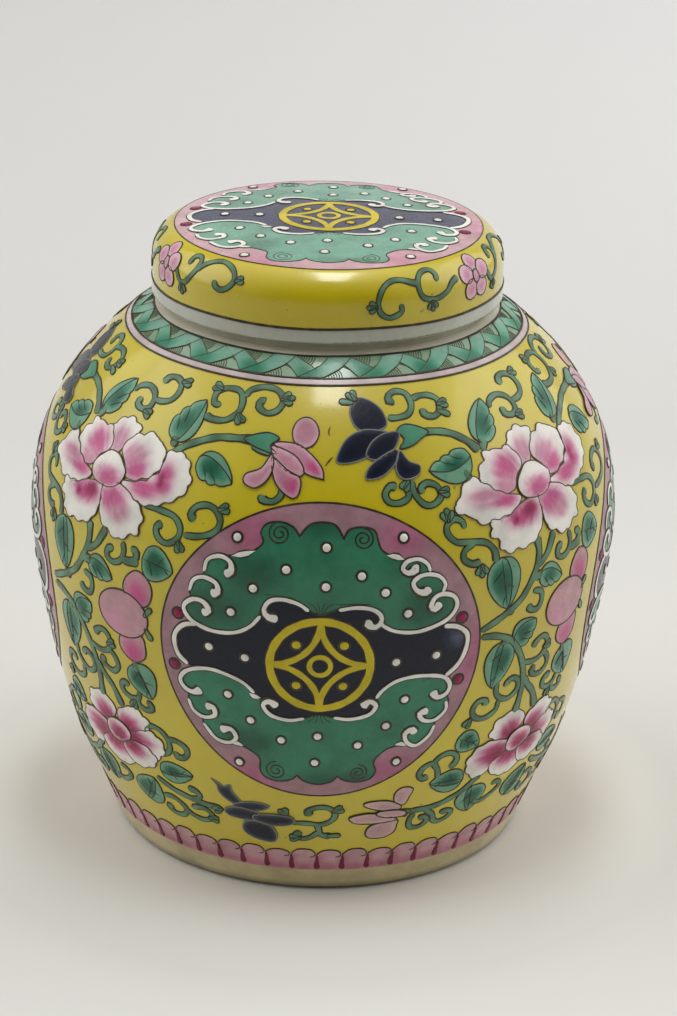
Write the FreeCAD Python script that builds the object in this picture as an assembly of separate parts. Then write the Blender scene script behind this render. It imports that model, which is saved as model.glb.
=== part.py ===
import FreeCAD, Part
import os
from math import cos, radians, sin

# A covered ginger jar in enamelled porcelain, in millimetres.
# The origin is the centre of the foot, on the ground, and +Z is up along the jar's axis.
# Both pieces are solids of revolution: a one-piece jar (foot, wall, shoulder, neck) and a cap lid.

V = FreeCAD.Vector
AXIS_POINT = V(0, 0, 0)
UP = V(0, 0, 1)

# Jar wall: (radius, height) points on the outside, from the foot's edge to the shoulder ledge.
WALL_CURVE = [
    (75.9, 1.5),
    (80.4, 14.0),
    (91.9, 42.0),
    (101.4, 80.0),
    (106.5, 118.0),
    (102.9, 148.0),
    (92.2, 170.0),
    (79.6, 185.0),
    (61.6, 198.7),
]
WALL_THICKNESS = 5.5

# Foot: a ring that the jar stands on, around a recessed base.
FOOT_RADIUS = 74.6
FOOT_RING_WIDTH = 8.0
FOOT_EDGE_ROUND = 1.2
BASE_RECESS = 6.0
BASE_THICKNESS = 6.5
BASE_CORNER = 3.0

# Neck: upright, unglazed at the ledge, with a rounded lip.
NECK_OUTER_RADIUS = 55.5
NECK_INNER_RADIUS = 50.5
LEDGE_RISE = 0.6
LEDGE_FILLET = 3.0
LIP_HEIGHT = 223.4
NECK_ROOT_HEIGHT = 201.0

# Lid: a flat-topped cap that drops over the neck and rests on its lip.
LID_RIM_RADIUS = 63.0
LID_RIM_HEIGHT = 203.0
LID_WALL_TAPER = 0.4
LID_SHOULDER_HEIGHT = 216.5
LID_SHOULDER_ROUND = 11.0
LID_TOP_HEIGHT = 230.0
LID_INNER_RADIUS = 58.0
LID_INNER_ROUND = 3.5
LID_SEAT_GAP = 0.1
LID_RIM_ROUND = 0.8


def point(radius, height):
    """A point of a half section, in the XZ plane."""
    return V(radius, 0, height)


def line(start, end):
    """A straight stretch of an outline, between two (radius, height) points."""
    return Part.LineSegment(point(*start), point(*end)).toShape()


def arc(centre, radius, start_deg, end_deg):
    """A round stretch about centre, with angles measured from +radius towards +height."""
    def on_circle(angle_deg):
        angle = radians(angle_deg)
        return point(centre[0] + radius * cos(angle), centre[1] + radius * sin(angle))

    middle_deg = (start_deg + end_deg) / 2
    return Part.Arc(on_circle(start_deg), on_circle(middle_deg), on_circle(end_deg)).toShape()


def smooth_curve(points):
    """A B-spline through (radius, height) points."""
    curve = Part.BSplineCurve()
    curve.interpolate([point(*p) for p in points])
    return curve


def revolved(edges):
    """The solid that a closed half section sweeps about the axis."""
    wire = Part.Wire(Part.__sortEdges__(edges))
    solid = Part.Face(wire).revolve(AXIS_POINT, UP, 360)
    return Part.Solid(solid) if solid.ShapeType == "Shell" else solid


def inside_of(curve, thickness, lowest, highest):
    """Points that lie a wall's thickness inside an outer curve, between two heights."""
    points = []
    for radius, height in WALL_CURVE:
        along = curve.tangent(curve.parameter(point(radius, height)))[0]
        inner = (radius - thickness * along.z, height + thickness * along.x)
        if lowest < inner[1] < highest:
            points.append(inner)
    return points


def foot_and_base():
    """The underside: recessed base, step down to the foot ring, and the ring's rounded edge."""
    ring_inner = FOOT_RADIUS - FOOT_RING_WIDTH
    ring_outer = FOOT_RADIUS - FOOT_EDGE_ROUND
    corner_centre = (ring_inner - BASE_CORNER, BASE_RECESS - BASE_CORNER)
    return [
        line((0, BASE_RECESS), (corner_centre[0], BASE_RECESS)),
        arc(corner_centre, BASE_CORNER, 90, 0),
        line((ring_inner, corner_centre[1]), (ring_inner, 0)),
        line((ring_inner, 0), (ring_outer, 0)),
        line((ring_outer, 0), WALL_CURVE[0]),
    ]


def ledge_and_neck():
    """The flat unglazed ledge inside the shoulder, the fillet up to the neck, and the lip."""
    ledge_height = WALL_CURVE[-1][1] + LEDGE_RISE
    fillet_centre = (NECK_OUTER_RADIUS + LEDGE_FILLET, ledge_height + LEDGE_FILLET)
    lip_round = (NECK_OUTER_RADIUS - NECK_INNER_RADIUS) / 2
    lip_centre = (NECK_INNER_RADIUS + lip_round, LIP_HEIGHT - lip_round)
    return [
        line(WALL_CURVE[-1], (fillet_centre[0], ledge_height)),
        arc(fillet_centre, LEDGE_FILLET, 270, 180),
        line((NECK_OUTER_RADIUS, fillet_centre[1]), (NECK_OUTER_RADIUS, lip_centre[1])),
        arc(lip_centre, lip_round, 0, 180),
        line((NECK_INNER_RADIUS, lip_centre[1]), (NECK_INNER_RADIUS, NECK_ROOT_HEIGHT)),
    ]


def hollow(wall):
    """The inside of the jar, from the neck's root down to the middle of its floor."""
    floor_height = BASE_RECESS + BASE_THICKNESS
    floor_radius = FOOT_RADIUS - FOOT_RING_WIDTH - BASE_CORNER
    inner = inside_of(wall, WALL_THICKNESS, floor_height, NECK_ROOT_HEIGHT - WALL_THICKNESS)
    path = [(floor_radius, floor_height)] + inner + [(NECK_INNER_RADIUS, NECK_ROOT_HEIGHT)]
    return [
        smooth_curve(path).toShape(),
        line((floor_radius, floor_height), (0, floor_height)),
        line((0, floor_height), (0, BASE_RECESS)),
    ]


def jar_body():
    """The jar itself: foot, ovoid wall, shoulder ledge and neck in one piece."""
    wall = smooth_curve(WALL_CURVE)
    return revolved(foot_and_base() + [wall.toShape()] + ledge_and_neck() + hollow(wall))


def lid_outside():
    """The cap's domed top, rounded shoulder and nearly straight wall, down to its rim."""
    shoulder_radius = LID_RIM_RADIUS - LID_WALL_TAPER
    round_centre = (shoulder_radius - LID_SHOULDER_ROUND, LID_SHOULDER_HEIGHT)
    dome_edge = (round_centre[0], LID_SHOULDER_HEIGHT + LID_SHOULDER_ROUND)
    dome_height = LID_TOP_HEIGHT - dome_edge[1]
    dome_radius = (dome_edge[0] ** 2 + dome_height ** 2) / (2 * dome_height)
    halfway = dome_edge[0] / 2
    halfway_height = LID_TOP_HEIGHT - dome_radius + (dome_radius ** 2 - halfway ** 2) ** 0.5
    dome = Part.Arc(point(*dome_edge), point(halfway, halfway_height), point(0, LID_TOP_HEIGHT))
    return [
        dome.toShape(),
        arc(round_centre, LID_SHOULDER_ROUND, 90, 0),
        line((shoulder_radius, LID_SHOULDER_HEIGHT), (LID_RIM_RADIUS, LID_RIM_HEIGHT + LID_RIM_ROUND)),
    ]


def lid_rim_and_inside():
    """The rim with its two rounded edges, the bore that clears the neck, and the flat ceiling."""
    ceiling = LIP_HEIGHT + LID_SEAT_GAP
    corner_centre = (LID_INNER_RADIUS - LID_INNER_ROUND, ceiling - LID_INNER_ROUND)
    round_height = LID_RIM_HEIGHT + LID_RIM_ROUND
    outer_edge = (LID_RIM_RADIUS - LID_RIM_ROUND, round_height)
    inner_edge = (LID_INNER_RADIUS + LID_RIM_ROUND, round_height)
    return [
        arc(outer_edge, LID_RIM_ROUND, 0, -90),
        line((outer_edge[0], LID_RIM_HEIGHT), (inner_edge[0], LID_RIM_HEIGHT)),
        arc(inner_edge, LID_RIM_ROUND, 270, 180),
        line((LID_INNER_RADIUS, round_height), (LID_INNER_RADIUS, corner_centre[1])),
        arc(corner_centre, LID_INNER_ROUND, 0, 90),
        line((corner_centre[0], ceiling), (0, ceiling)),
        line((0, ceiling), (0, LID_TOP_HEIGHT)),
    ]


def lid():
    """The cap that drops over the neck."""
    return revolved(lid_outside() + lid_rim_and_inside())


os.makedirs("parts", exist_ok=True)
for name, shape in (("jar_body", jar_body()), ("lid", lid())):
    shape.exportStep("parts/" + name + ".step")
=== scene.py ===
import math
import bpy
import numpy as np
from mathutils import Matrix, Vector, geometry
from mathutils.bvhtree import BVHTree


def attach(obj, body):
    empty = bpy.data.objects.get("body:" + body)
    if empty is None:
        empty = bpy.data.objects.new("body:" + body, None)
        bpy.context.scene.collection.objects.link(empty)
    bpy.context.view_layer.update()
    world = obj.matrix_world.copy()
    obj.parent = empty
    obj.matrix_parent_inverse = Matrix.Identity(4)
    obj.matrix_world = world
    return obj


# The looks of an enamelled porcelain ginger jar.  Painted ornament is real geometry: thin closed
# patches and strokes of enamel that stand a few tenths of a millimetre proud of the glaze.
# Ornament is laid out on flat canvases, across in degrees and up in mm, and wrapped onto the frame.

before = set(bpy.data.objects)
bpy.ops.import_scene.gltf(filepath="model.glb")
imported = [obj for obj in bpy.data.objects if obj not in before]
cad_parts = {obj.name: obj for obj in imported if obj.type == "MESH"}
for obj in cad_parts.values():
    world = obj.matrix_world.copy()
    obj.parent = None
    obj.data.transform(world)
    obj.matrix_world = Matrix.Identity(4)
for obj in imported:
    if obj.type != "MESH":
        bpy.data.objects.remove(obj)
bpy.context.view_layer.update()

MM = 0.001
TILT_STEP = 0.5        # degrees between the rays that feel for a node's outside
SURFACE_SLACK = 0.25   # how far from the outside a vertex may lie and still belong to it, in mm
SECTION_GAP = 0.5      # least distance between points of a section, in mm
SLOPE_SPAN = 1.5       # how far to either side the slope of a surface is taken, in mm

SINK = 0.15            # how far enamel reaches into the wall under it, in mm
STROKE_STEP = 1.1      # distance between sections of a stroke, in mm
EDGE_STEP = 1.2        # distance between points on the edge of a patch, in mm
ROW_PITCH = 0.87       # distance between rows of points in a patch, as a share of their spacing
EDGE_CLEARANCE = 0.45  # least distance from those points to the edge, as a share of their spacing
EDGE_LIFT = 0.75       # height of a patch at its edge, as a share of its height inside
LINE_RISE = 0.07       # how far the line round a patch stands above it, in mm
SHARP_ANGLE = math.radians(50)
SECTION = [(-0.5, 0.0), (-0.45, 0.85), (0.0, 1.0), (0.45, 0.85), (0.5, 0.0)]   # of a stroke of size 1
CAP_STEPS = np.array([0, 0.06, 0.2, 0.42, 0.7, 1.0])    # sections close to a stroke's end
DOME_STEP = 30                                          # degrees between points round a dot
DOME_RINGS = [(1, 0.25), (0.8, 0.75), (0.4, 0.97)]      # share of a dot's radius and of its height
FRILL_PERIOD, FRILL_DEPTH = 5.6, 1.1                    # mm

# Paint colours, as they look in daylight (sRGB, 0 to 255).
INK = (44, 36, 20)
GREEN = (62, 132, 100)
DEEP_GREEN = (22, 92, 66)
PALE_GREEN = (128, 176, 146)
LEAF_GREEN = (76, 142, 112)
FOLD_GREEN = (110, 160, 130)
SCROLL_GREEN = (104, 146, 112)
PINK = (208, 146, 168)
ROSE = (200, 84, 136)
CRIMSON = (146, 22, 74)
NAVY = (12, 17, 36)
# The next colour is a painted sheen on the medallions' dark band.
SHEEN_SLATE = (84, 90, 108)
WHITE = (246, 242, 232)
YELLOW = (212, 190, 30)
POD_PINK = (200, 152, 158)
GROUND_PINK = (172, 132, 140)
LILY_PINK = (198, 138, 156)


# ---------------------------------------------------------------- the frame's outlines

def run_along(path):
    """Distance along an open path at each of its points."""
    return np.append(0, np.cumsum(np.hypot(*np.diff(path, axis=0).T)))


class Outline:
    """The outside half section of a CAD node, measured along its surface in mm."""

    def __init__(self, node, centre_height, low_deg, high_deg):
        """Keeps what can be seen from outside between two tilts, as seen from a point on the axis."""
        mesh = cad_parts[node].data
        points = np.array([v.co for v in mesh.vertices]) / MM
        tree = BVHTree.FromPolygons([v.co for v in mesh.vertices],
                                    [tuple(p.vertices) for p in mesh.polygons])
        centre = Vector((0, 0, centre_height * MM))
        tilts = np.arange(low_deg, high_deg, TILT_STEP)
        reach = [self.reach(tree, centre, math.radians(t)) for t in tilts]
        radius = np.hypot(points[:, 0], points[:, 1])
        rise = points[:, 2] - centre_height
        tilt = np.degrees(np.arctan2(rise, radius))
        outer = np.abs(np.hypot(radius, rise) - np.interp(tilt, tilts, reach)) < SURFACE_SLACK
        outer &= (tilt > low_deg) & (tilt < high_deg)
        order = np.argsort(tilt[outer])
        section = self.thinned(np.stack([radius[outer][order], points[outer][order][:, 2]], 1))
        self.length = run_along(section)
        self.radius, self.height = section[:, 0], section[:, 1]

    @staticmethod
    def thinned(section):
        """Points of the section at least a gap apart."""
        kept = [section[0]]
        for point in section[1:]:
            if math.dist(point, kept[-1]) > SECTION_GAP:
                kept.append(point)
        return np.array(kept)

    def close_at_axis(self):
        """Adds the point where the outline meets the axis."""
        self.length = np.append(self.length, self.length[-1] + self.radius[-1])
        self.radius = np.append(self.radius, 0.0)
        self.height = np.append(self.height, self.height[-1])

    @staticmethod
    def reach(tree, centre, tilt):
        """Distance in mm from the centre to the outer surface, the greatest over a few azimuths."""
        best = 0.0
        for turn in np.arange(0, 2 * math.pi, math.pi / 8):
            flat = math.cos(tilt)
            way = Vector((flat * math.cos(turn), flat * math.sin(turn), math.sin(tilt)))
            hit = tree.ray_cast(centre + way * 0.5, -way)[0]
            if hit is not None:
                best = max(best, (hit - centre).length / MM)
        return best

    def at(self, along):
        """Radius and height in mm at a distance along the surface."""
        return np.interp(along, self.length, self.radius), np.interp(along, self.length, self.height)

    def place(self, angle_deg, along, lift):
        """Points in metres and their outward normals; angle 0 faces the front, -Y."""
        r0, z0 = self.at(np.asarray(along) - SLOPE_SPAN)
        r1, z1 = self.at(np.asarray(along) + SLOPE_SPAN)
        size = np.hypot(r1 - r0, z1 - z0)
        out, up = (z1 - z0) / size, (r0 - r1) / size
        radius, height = self.at(along)
        angle = np.radians(angle_deg)
        ahead = np.stack([np.sin(angle), -np.cos(angle)], -1)
        normal = np.concatenate([ahead * out[..., None], up[..., None]], -1)
        base = np.concatenate([ahead * radius[..., None], height[..., None]], -1)
        return (base + normal * np.asarray(lift)[..., None]) * MM, normal


class Canvas:
    """A flat drawing surface wrapped onto an outline.
    wrap turns (u, v) into (angle, along); unit is mm per u, the same all over if the canvas is even."""

    def __init__(self, outline, wrap, unit, even=False):
        self.outline, self.wrap, self.unit, self.even = outline, wrap, unit, even

    def place(self, uv, lift):
        angle, along = self.wrap(uv[:, 0], uv[:, 1])
        return self.outline.place(angle, along, np.broadcast_to(lift, angle.shape))

    def mm_per_unit(self, v):
        """True mm per u at a height; on a canvas that isn't even it follows the outline's radius."""
        return self.unit if self.even else float(self.outline.at(v)[0]) * math.pi / 180


# ---------------------------------------------------------------- points and colours

def linear(srgb):
    """sRGB 0 to 255 as linear light."""
    c = np.clip(np.asarray(srgb, float) / 255, 0, 1)
    return np.where(c <= 0.04045, c / 12.92, ((c + 0.055) / 1.055) ** 2.4)


def circle(radius, step_deg, height=None):
    """Points round a circle about (0, 0), or round an oval with its own half height."""
    high = radius if height is None else height
    return [(radius * math.cos(t), high * math.sin(t)) for t in np.radians(np.arange(0, 360, step_deg))]


def turned(points, angle):
    """Points turned about (0, 0) by an angle in radians."""
    c, s = math.cos(angle), math.sin(angle)
    return [(x * c - y * s, x * s + y * c) for x, y in points]


def smooth(points, closed=False, step=STROKE_STEP):
    """A Catmull-Rom curve through the points, with samples about a step apart."""
    p = np.asarray(points, float)
    if closed:
        guided = np.concatenate([p[-1:], p, p[:2]])
    else:
        guided = np.concatenate([2 * p[:1] - p[1:2], p, 2 * p[-1:] - p[-2:-1]])
    parts = []
    for a, b, c, d in zip(guided, guided[1:], guided[2:], guided[3:]):
        n = max(2, int(round(np.hypot(*(c - b)) / step)))
        t = (np.arange(n) / n)[:, None]
        parts.append(0.5 * (2 * b + (c - a) * t + (2 * a - 5 * b + 4 * c - d) * t ** 2
                            + (3 * b - a - 3 * c + d) * t ** 3))
    return np.concatenate(parts if closed else parts + [p[-1:]])


def frilled(path, centre):
    """The outline in mm with small round scallops on the parts away from the flower's centre."""
    ahead = np.roll(path, -1, 0) - np.roll(path, 1, 0)
    ahead /= np.hypot(*ahead.T)[:, None] + 1e-9
    area = np.sum(path[:, 0] * np.roll(path[:, 1], -1) - np.roll(path[:, 0], -1) * path[:, 1])
    outward = np.stack([ahead[:, 1], -ahead[:, 0]], 1) * (1 if area > 0 else -1)
    gaps = np.hypot(*(np.roll(path, -1, 0) - path).T)
    run = np.append(0, np.cumsum(gaps)[:-1])
    count = max(3, round(gaps.sum() / FRILL_PERIOD))
    wave = np.abs(np.sin(np.pi * count * run / gaps.sum())) - 0.55
    far = np.hypot(*(path - centre).T)
    weight = np.clip((far - 11) / 7, 0, 1)
    return path + outward * (FRILL_DEPTH * wave * weight)[:, None]


def blotted(base, *blots):
    """Paint that changes from a base colour to others around spots (x, y, reach_x, reach_y, colour)."""
    def paint(uv):
        colour = np.tile(np.asarray(base, float), (len(uv), 1))
        for x, y, reach_x, reach_y, other in blots:
            d = ((uv[:, 0] - x) / reach_x) ** 2 + ((uv[:, 1] - y) / reach_y) ** 2
            weight = np.exp(-d ** 1.5)[:, None]
            colour = colour * (1 - weight) + np.asarray(other, float) * weight
        return colour
    return paint


def shades(paint, uv):
    """One colour per canvas point: paint is a colour, or a function that gives them."""
    return np.asarray(paint(uv) if callable(paint) else [paint] * len(uv), float)


# ---------------------------------------------------------------- strokes and patches

class Enamel:
    """Collects painted geometry for one visible piece."""

    def __init__(self, name, body, material, slot):
        self.name, self.body, self.material, self.slot = name, body, material, slot
        self.points, self.faces, self.paint, self.count = [], [], [], 0

    def add(self, points, faces, paint):
        self.faces += [[i + self.count for i in f] for f in faces]
        self.points.append(points)
        self.paint.append(paint)
        self.count += len(points)

    def build(self):
        """Makes the piece, which rides on its body."""
        mesh = bpy.data.meshes.new(self.name)
        mesh.from_pydata(np.concatenate(self.points).tolist(), [], self.faces)
        mesh.polygons.foreach_set("use_smooth", [True] * len(mesh.polygons))
        mesh.set_sharp_from_angle(angle=SHARP_ANGLE)
        colours = mesh.color_attributes.new("Paint", "FLOAT_COLOR", "POINT")
        rgba = np.ones((self.count, 4))
        rgba[:, :3] = linear(np.concatenate(self.paint))
        colours.data.foreach_set("color", rgba.ravel())
        piece = bpy.data.objects.new(self.name, mesh)
        bpy.context.scene.collection.objects.link(piece)
        piece.data.materials.append(self.material)
        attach(piece, self.body)


def with_caps(path, reach):
    """Adds close samples at both ends of a path, so that its ends can be round."""
    run = run_along(path)
    near = CAP_STEPS * min(reach, run[-1] / 2.2)
    middle = run[(run > near[-1] * 1.3) & (run < run[-1] - near[-1] * 1.3)]
    at = np.concatenate([near, middle, run[-1] - near[::-1]])
    return np.stack([np.interp(at, run, path[:, 0]), np.interp(at, run, path[:, 1])], 1)


def pen_width(pen, width, run):
    """Width along a stroke: a point has sharp ends, a drop and a comma are thick at their start,
    a club is thick at its end, and any other pen is even with round ends."""
    total = run[-1]
    ends = np.minimum(run, total - run)
    cap = min(width / 2, total / 2.2)
    round_off = np.sqrt(np.clip(1 - (1 - np.clip(ends / cap, 0, 1)) ** 2, 0.01, 1))
    if pen == "point":
        return width * np.clip(ends * 3 / total, 0.12, 1)
    if pen == "drop":
        return width * np.clip(1.05 - 0.75 * run / total, 0.1, 1) * round_off
    if pen == "comma":
        return width * (0.85 + 0.75 * np.exp(-(run / (1.5 * width)) ** 2) - 0.25 * run / total) * round_off
    if pen == "club":
        return width * (0.95 + 0.35 * np.exp(-((total - run) / (1.3 * width)) ** 2)) * round_off
    return width * round_off


def tube_faces(n, closed):
    """Faces of a tube through n sections in a row, capped at both ends unless it is closed."""
    k = len(SECTION)
    faces = []
    for i in range(n if closed else n - 1):
        j = (i + 1) % n
        faces += [[i * k + m, j * k + m, j * k + (m + 1) % k, i * k + (m + 1) % k] for m in range(k)]
    if not closed:
        faces.append(list(range(k)))
        faces.append([(n - 1) * k + m for m in reversed(range(k))])
    return faces


def stroke(enamel, canvas, points, width, lift, paint, pen="round", closed=False, raw=False, extra=0.0):
    """A raised line of enamel with the width its pen gives, plus an extra margin on each side.
    A raw line goes straight from point to point."""
    scale = np.array([canvas.unit, 1.0])
    path = np.asarray(points, float) * scale
    path = path if raw else smooth(path, closed)
    full = width + 2 * extra
    if not closed:
        path = with_caps(path, full / 2)
    run = run_along(path)
    wide = np.full(len(path), full) if closed else pen_width(pen, full, run)
    wide = wide * (1 + 0.06 * np.sin(run * 0.9 + path[0, 0]))
    base, normal = canvas.place(path / scale, np.zeros(len(path)))
    ahead = np.roll(base, -1, 0) - np.roll(base, 1, 0)
    if not closed:
        ahead[0], ahead[-1] = base[1] - base[0], base[-1] - base[-2]
    side = np.cross(normal, ahead)
    side /= np.linalg.norm(side, axis=1)[:, None] + 1e-12
    rows = []
    for across, high in SECTION:
        up = -SINK + (lift + SINK) * high
        rows.append(base + side * (wide * across)[:, None] * MM + normal * up * MM)
    colours = np.repeat(shades(paint, path / scale), len(SECTION), 0)
    enamel.add(np.stack(rows, 1).reshape(-1, 3), tube_faces(len(path), closed), colours)


def inside(polygon, points):
    """Which points lie inside a polygon."""
    x, y = points[:, :1], points[:, 1:]
    a, b = polygon, np.roll(polygon, -1, 0)
    crosses = (a[:, 1] > y) != (b[:, 1] > y)
    rise = np.where(b[:, 1] == a[:, 1], 1e-9, b[:, 1] - a[:, 1])
    at = a[:, 0] + (y - a[:, 1]) * (b[:, 0] - a[:, 0]) / rise
    return (crosses & (x < at)).sum(1) % 2 == 1


def nearest(points, edge):
    """Distance from each point to the nearest point of an outline."""
    return np.min(np.hypot(points[:, None, 0] - edge[None, :, 0], points[:, None, 1] - edge[None, :, 1]), 1)


def points_within(edge, spacing):
    """Staggered rows of points inside an outline and clear of its edge."""
    low, high = edge.min(0), edge.max(0)
    rows = []
    for row, y in enumerate(np.arange(low[1], high[1], spacing * ROW_PITCH)):
        xs = np.arange(low[0] + (row % 2) * spacing / 2, high[0], spacing)
        rows.append(np.stack([xs, np.full(len(xs), y)], 1))
    grid = np.concatenate(rows)
    grid = grid[inside(edge, grid)]
    return grid[nearest(grid, edge) > spacing * EDGE_CLEARANCE]


def triangulated(edge, inner):
    """An outline filled with triangles that all face up: the flat points, the triangles and the
    directed sides that have no neighbour."""
    loose = [Vector(p) for p in np.concatenate([edge, inner])]
    borders = [(i, (i + 1) % len(edge)) for i in range(len(edge))]
    flat, _, tris, _, _, _ = geometry.delaunay_2d_cdt(loose, borders, [], 1, 1e-5)
    flat = np.array([tuple(v) for v in flat])
    facing = []
    for tri in tris:
        p, q, r = flat[tri[0]], flat[tri[1]], flat[tri[2]]
        turn = (q[0] - p[0]) * (r[1] - p[1]) - (q[1] - p[1]) * (r[0] - p[0])
        facing.append(tuple(tri) if turn > 0 else tuple(reversed(tri)))
    sides = dict.fromkeys(side for t in facing for side in zip(t, t[1:] + t[:1]))
    return flat, facing, [(a, b) for a, b in sides if (b, a) not in sides]


def fill(enamel, canvas, outline, lift, paint, spacing, rim=None):
    """A closed raised patch of fine triangles, its edge a little lower.
    rim is (colour, width in mm) of a band along the edge."""
    scale = np.array([canvas.unit, 1.0])
    edge = np.asarray(outline, float) * scale
    flat, facing, skirt = triangulated(edge, points_within(edge, spacing))
    size = len(flat)
    on_edge = np.zeros(size, bool)
    on_edge[[i for side in skirt for i in side]] = True
    top, _ = canvas.place(flat / scale, np.where(on_edge, lift * EDGE_LIFT, lift))
    bottom, _ = canvas.place(flat / scale, np.full(size, -SINK))
    faces = [list(t) for t in facing]
    faces += [[i + size for i in reversed(t)] for t in facing]
    faces += [[b, a, a + size, b + size] for a, b in skirt]
    colours = shades(paint, flat / scale)
    if rim:
        share = np.clip(nearest(flat, edge) / rim[1] - 0.3, 0, 1)[:, None]
        colours = np.asarray(rim[0], float) * (1 - share) + colours * share
    enamel.add(np.concatenate([top, bottom]), faces, np.concatenate([colours, colours]))


def dome_faces():
    """Faces of a dot: rings of points up to a top point, then the ring that sits in the wall."""
    n = 360 // DOME_STEP
    after = [(i + 1) % n for i in range(n)]
    top = n * len(DOME_RINGS)
    low = top + 1
    faces = []
    for start in range(0, top - n, n):
        faces += [[start + i, start + j, start + n + j, start + n + i] for i, j in enumerate(after)]
    faces += [[top - n + i, top - n + j, top] for i, j in enumerate(after)]
    faces += [[j, i, low + i, low + j] for i, j in enumerate(after)]
    return faces + [[low + i for i in reversed(range(n))]]


class Brush:
    """Paints on one canvas, with one piece for the colours and one for the ink lines."""

    def __init__(self, canvas, paint, ink, ink_share=1.0):
        """ink_share makes every ink line thinner."""
        self.canvas, self.paint, self.ink, self.ink_share = canvas, paint, ink, ink_share

    def to_mm(self, points):
        return np.asarray(points, float) * [self.canvas.unit, 1]

    def around(self, x, y, points):
        """Places points given in true mm around a spot on the canvas."""
        size = self.canvas.mm_per_unit(y)
        return [(x + px / size, y + py) for px, py in points]

    def line(self, points, width=0.5, lift=0.3, pen="point", colour=INK):
        stroke(self.ink, self.canvas, points, width * self.ink_share, lift, colour, pen)

    def patch(self, points, colour, lift=0.2, edge=0.5, rim=None, spacing=2.0, frill=None, line_colour=INK):
        """A patch with an ink line of the edge's width; frill is the centre of a frilled petal's flower."""
        path = smooth(self.to_mm(points), True, EDGE_STEP)
        if frill:
            path = frilled(path, self.to_mm([frill])[0])
        outline = path / [self.canvas.unit, 1]
        fill(self.paint, self.canvas, outline, lift, colour, spacing, rim)
        if edge:
            stroke(self.ink, self.canvas, outline, edge * self.ink_share, lift + LINE_RISE, line_colour,
                   closed=True, raw=True)

    def ribbon(self, points, width, colour, lift=0.3, edge=0.5, pen="round", closed=False):
        """An enamel stroke over a slightly wider ink stroke."""
        stroke(self.ink, self.canvas, points, width, lift - 0.08, INK, pen, closed,
               extra=edge * self.ink_share)
        stroke(self.paint, self.canvas, points, width, lift, colour, pen, closed)

    def dome(self, x, y, radius, colour, lift, ring):
        """A raised dot of thick enamel with an ink ring."""
        spots = [self.around(x, y, circle(radius * share, DOME_STEP)) for share, _ in DOME_RINGS]
        heights = np.repeat([lift * high for _, high in DOME_RINGS], len(spots[0]))
        top, _ = self.canvas.place(np.array(sum(spots, []) + [(x, y)]), np.append(heights, lift))
        low, _ = self.canvas.place(np.array(spots[0]), np.full(len(spots[0]), -SINK))
        points = np.concatenate([top, low])
        self.paint.add(points, dome_faces(), shades(colour, points))
        loop = self.around(x, y, circle(radius + ring * 0.3, DOME_STEP))
        stroke(self.ink, self.canvas, loop, ring * 1.6 * self.ink_share, lift * 0.7, INK, closed=True)


# ---------------------------------------------------------------- motifs: leaves, scrolls, flowers

LEAF_EDGE = [(t, 1) for t in (0.06, 0.16, 0.3, 0.46, 0.64, 0.82, 0.93)]    # share of length, of width
NOTCHED_EDGE = [(0.06, 1), (0.18, 1), (0.32, 1.04), (0.42, 1), (0.46, 0.87), (0.46, 0.87), (0.56, 1.04),
                (0.66, 1.02), (0.7, 0.85), (0.7, 0.85), (0.8, 1.04), (0.91, 1)]


def leaf(brush, x, y, length, width, heading, bend, fold, veins):
    """A pointed leaf, base to tip along the heading (degrees, 0 to the right), centre at (x, y).
    bend bows the midrib in mm; fold is the share of the half width that curls over, signed by side."""
    def at(t, across):
        half = width * 0.56 * math.sin(math.pi * t ** 0.72) ** 0.66 if 0 < t < 1 else 0
        spot = ((t - 0.5) * length, across * half + bend * math.sin(math.pi * t))
        return turned([spot], math.radians(heading))[0]

    def lines(*paths):
        for path in paths:
            brush.line(brush.around(x, y, [at(*spot) for spot in path]), 0.45, 0.36)

    side = -1 if fold > 0 else 1
    tip, base = at(1, 0), at(0, 0)
    one_side = [at(t, side * share) for t, share in (LEAF_EDGE if veins else NOTCHED_EDGE)]
    other_side = [at(t, -side * share) for t, share in reversed(LEAF_EDGE)]
    shape = [base, base] + one_side + [tip, tip] + other_side
    middle = brush.around(x, y, [at(0.42, 0.1 * side)])[0]
    size = brush.canvas.mm_per_unit(y)
    colour = blotted(LEAF_GREEN, (*middle, width * 0.42 / size, width * 0.42, DEEP_GREEN))
    brush.patch(brush.around(x, y, shape), colour, rim=(PALE_GREEN, 1.8), spacing=1.6)
    if not veins:
        lines([(0.7, 0.83 * side), (0.6, 0.5 * side), (0.4, 0.16 * side)],
              [(0.46, 0.85 * side), (0.36, 0.55 * side), (0.2, 0.24 * side)])
    if fold:
        flap = [base, base] + [at(t, fold) for t, _ in LEAF_EDGE] + [tip, tip] + other_side
        brush.patch(brush.around(x, y, flap), FOLD_GREEN, 0.28, 0.45, spacing=2.2)
    for k in range(veins):
        t = (k + 1) / (veins + 1)
        way = 0.7 if k % 2 else -0.7
        lines([(t, -0.05), (min(0.95, t + 0.08), way / 2), (min(0.97, t + 0.16), way)])
    if veins:
        lines([(0.05, 0), (0.5, 0), (0.95, 0)])


def tendril(brush, points, width=1.9):
    """A scroll of the vine: a green line, light and dark in turn, with dark edges and a thick end."""
    deep = np.array(SCROLL_GREEN) * 0.8

    def colour(uv):
        wave = 0.5 + 0.5 * np.sin(uv[:, 0] * 0.9 + uv[:, 1] * 0.37)
        return np.array(SCROLL_GREEN) * (1 - wave[:, None]) + deep * wave[:, None]

    brush.ribbon(points, width, colour, 0.32, 0.5, "club")


BUD = [(0, 0.5), (0.45, 0.9), (0.8, 1.05), (1.0, 0.55), (1.05, 0),
       (1.0, -0.55), (0.8, -1.05), (0.45, -0.9), (0, -0.5)]      # share of length, of width


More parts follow.
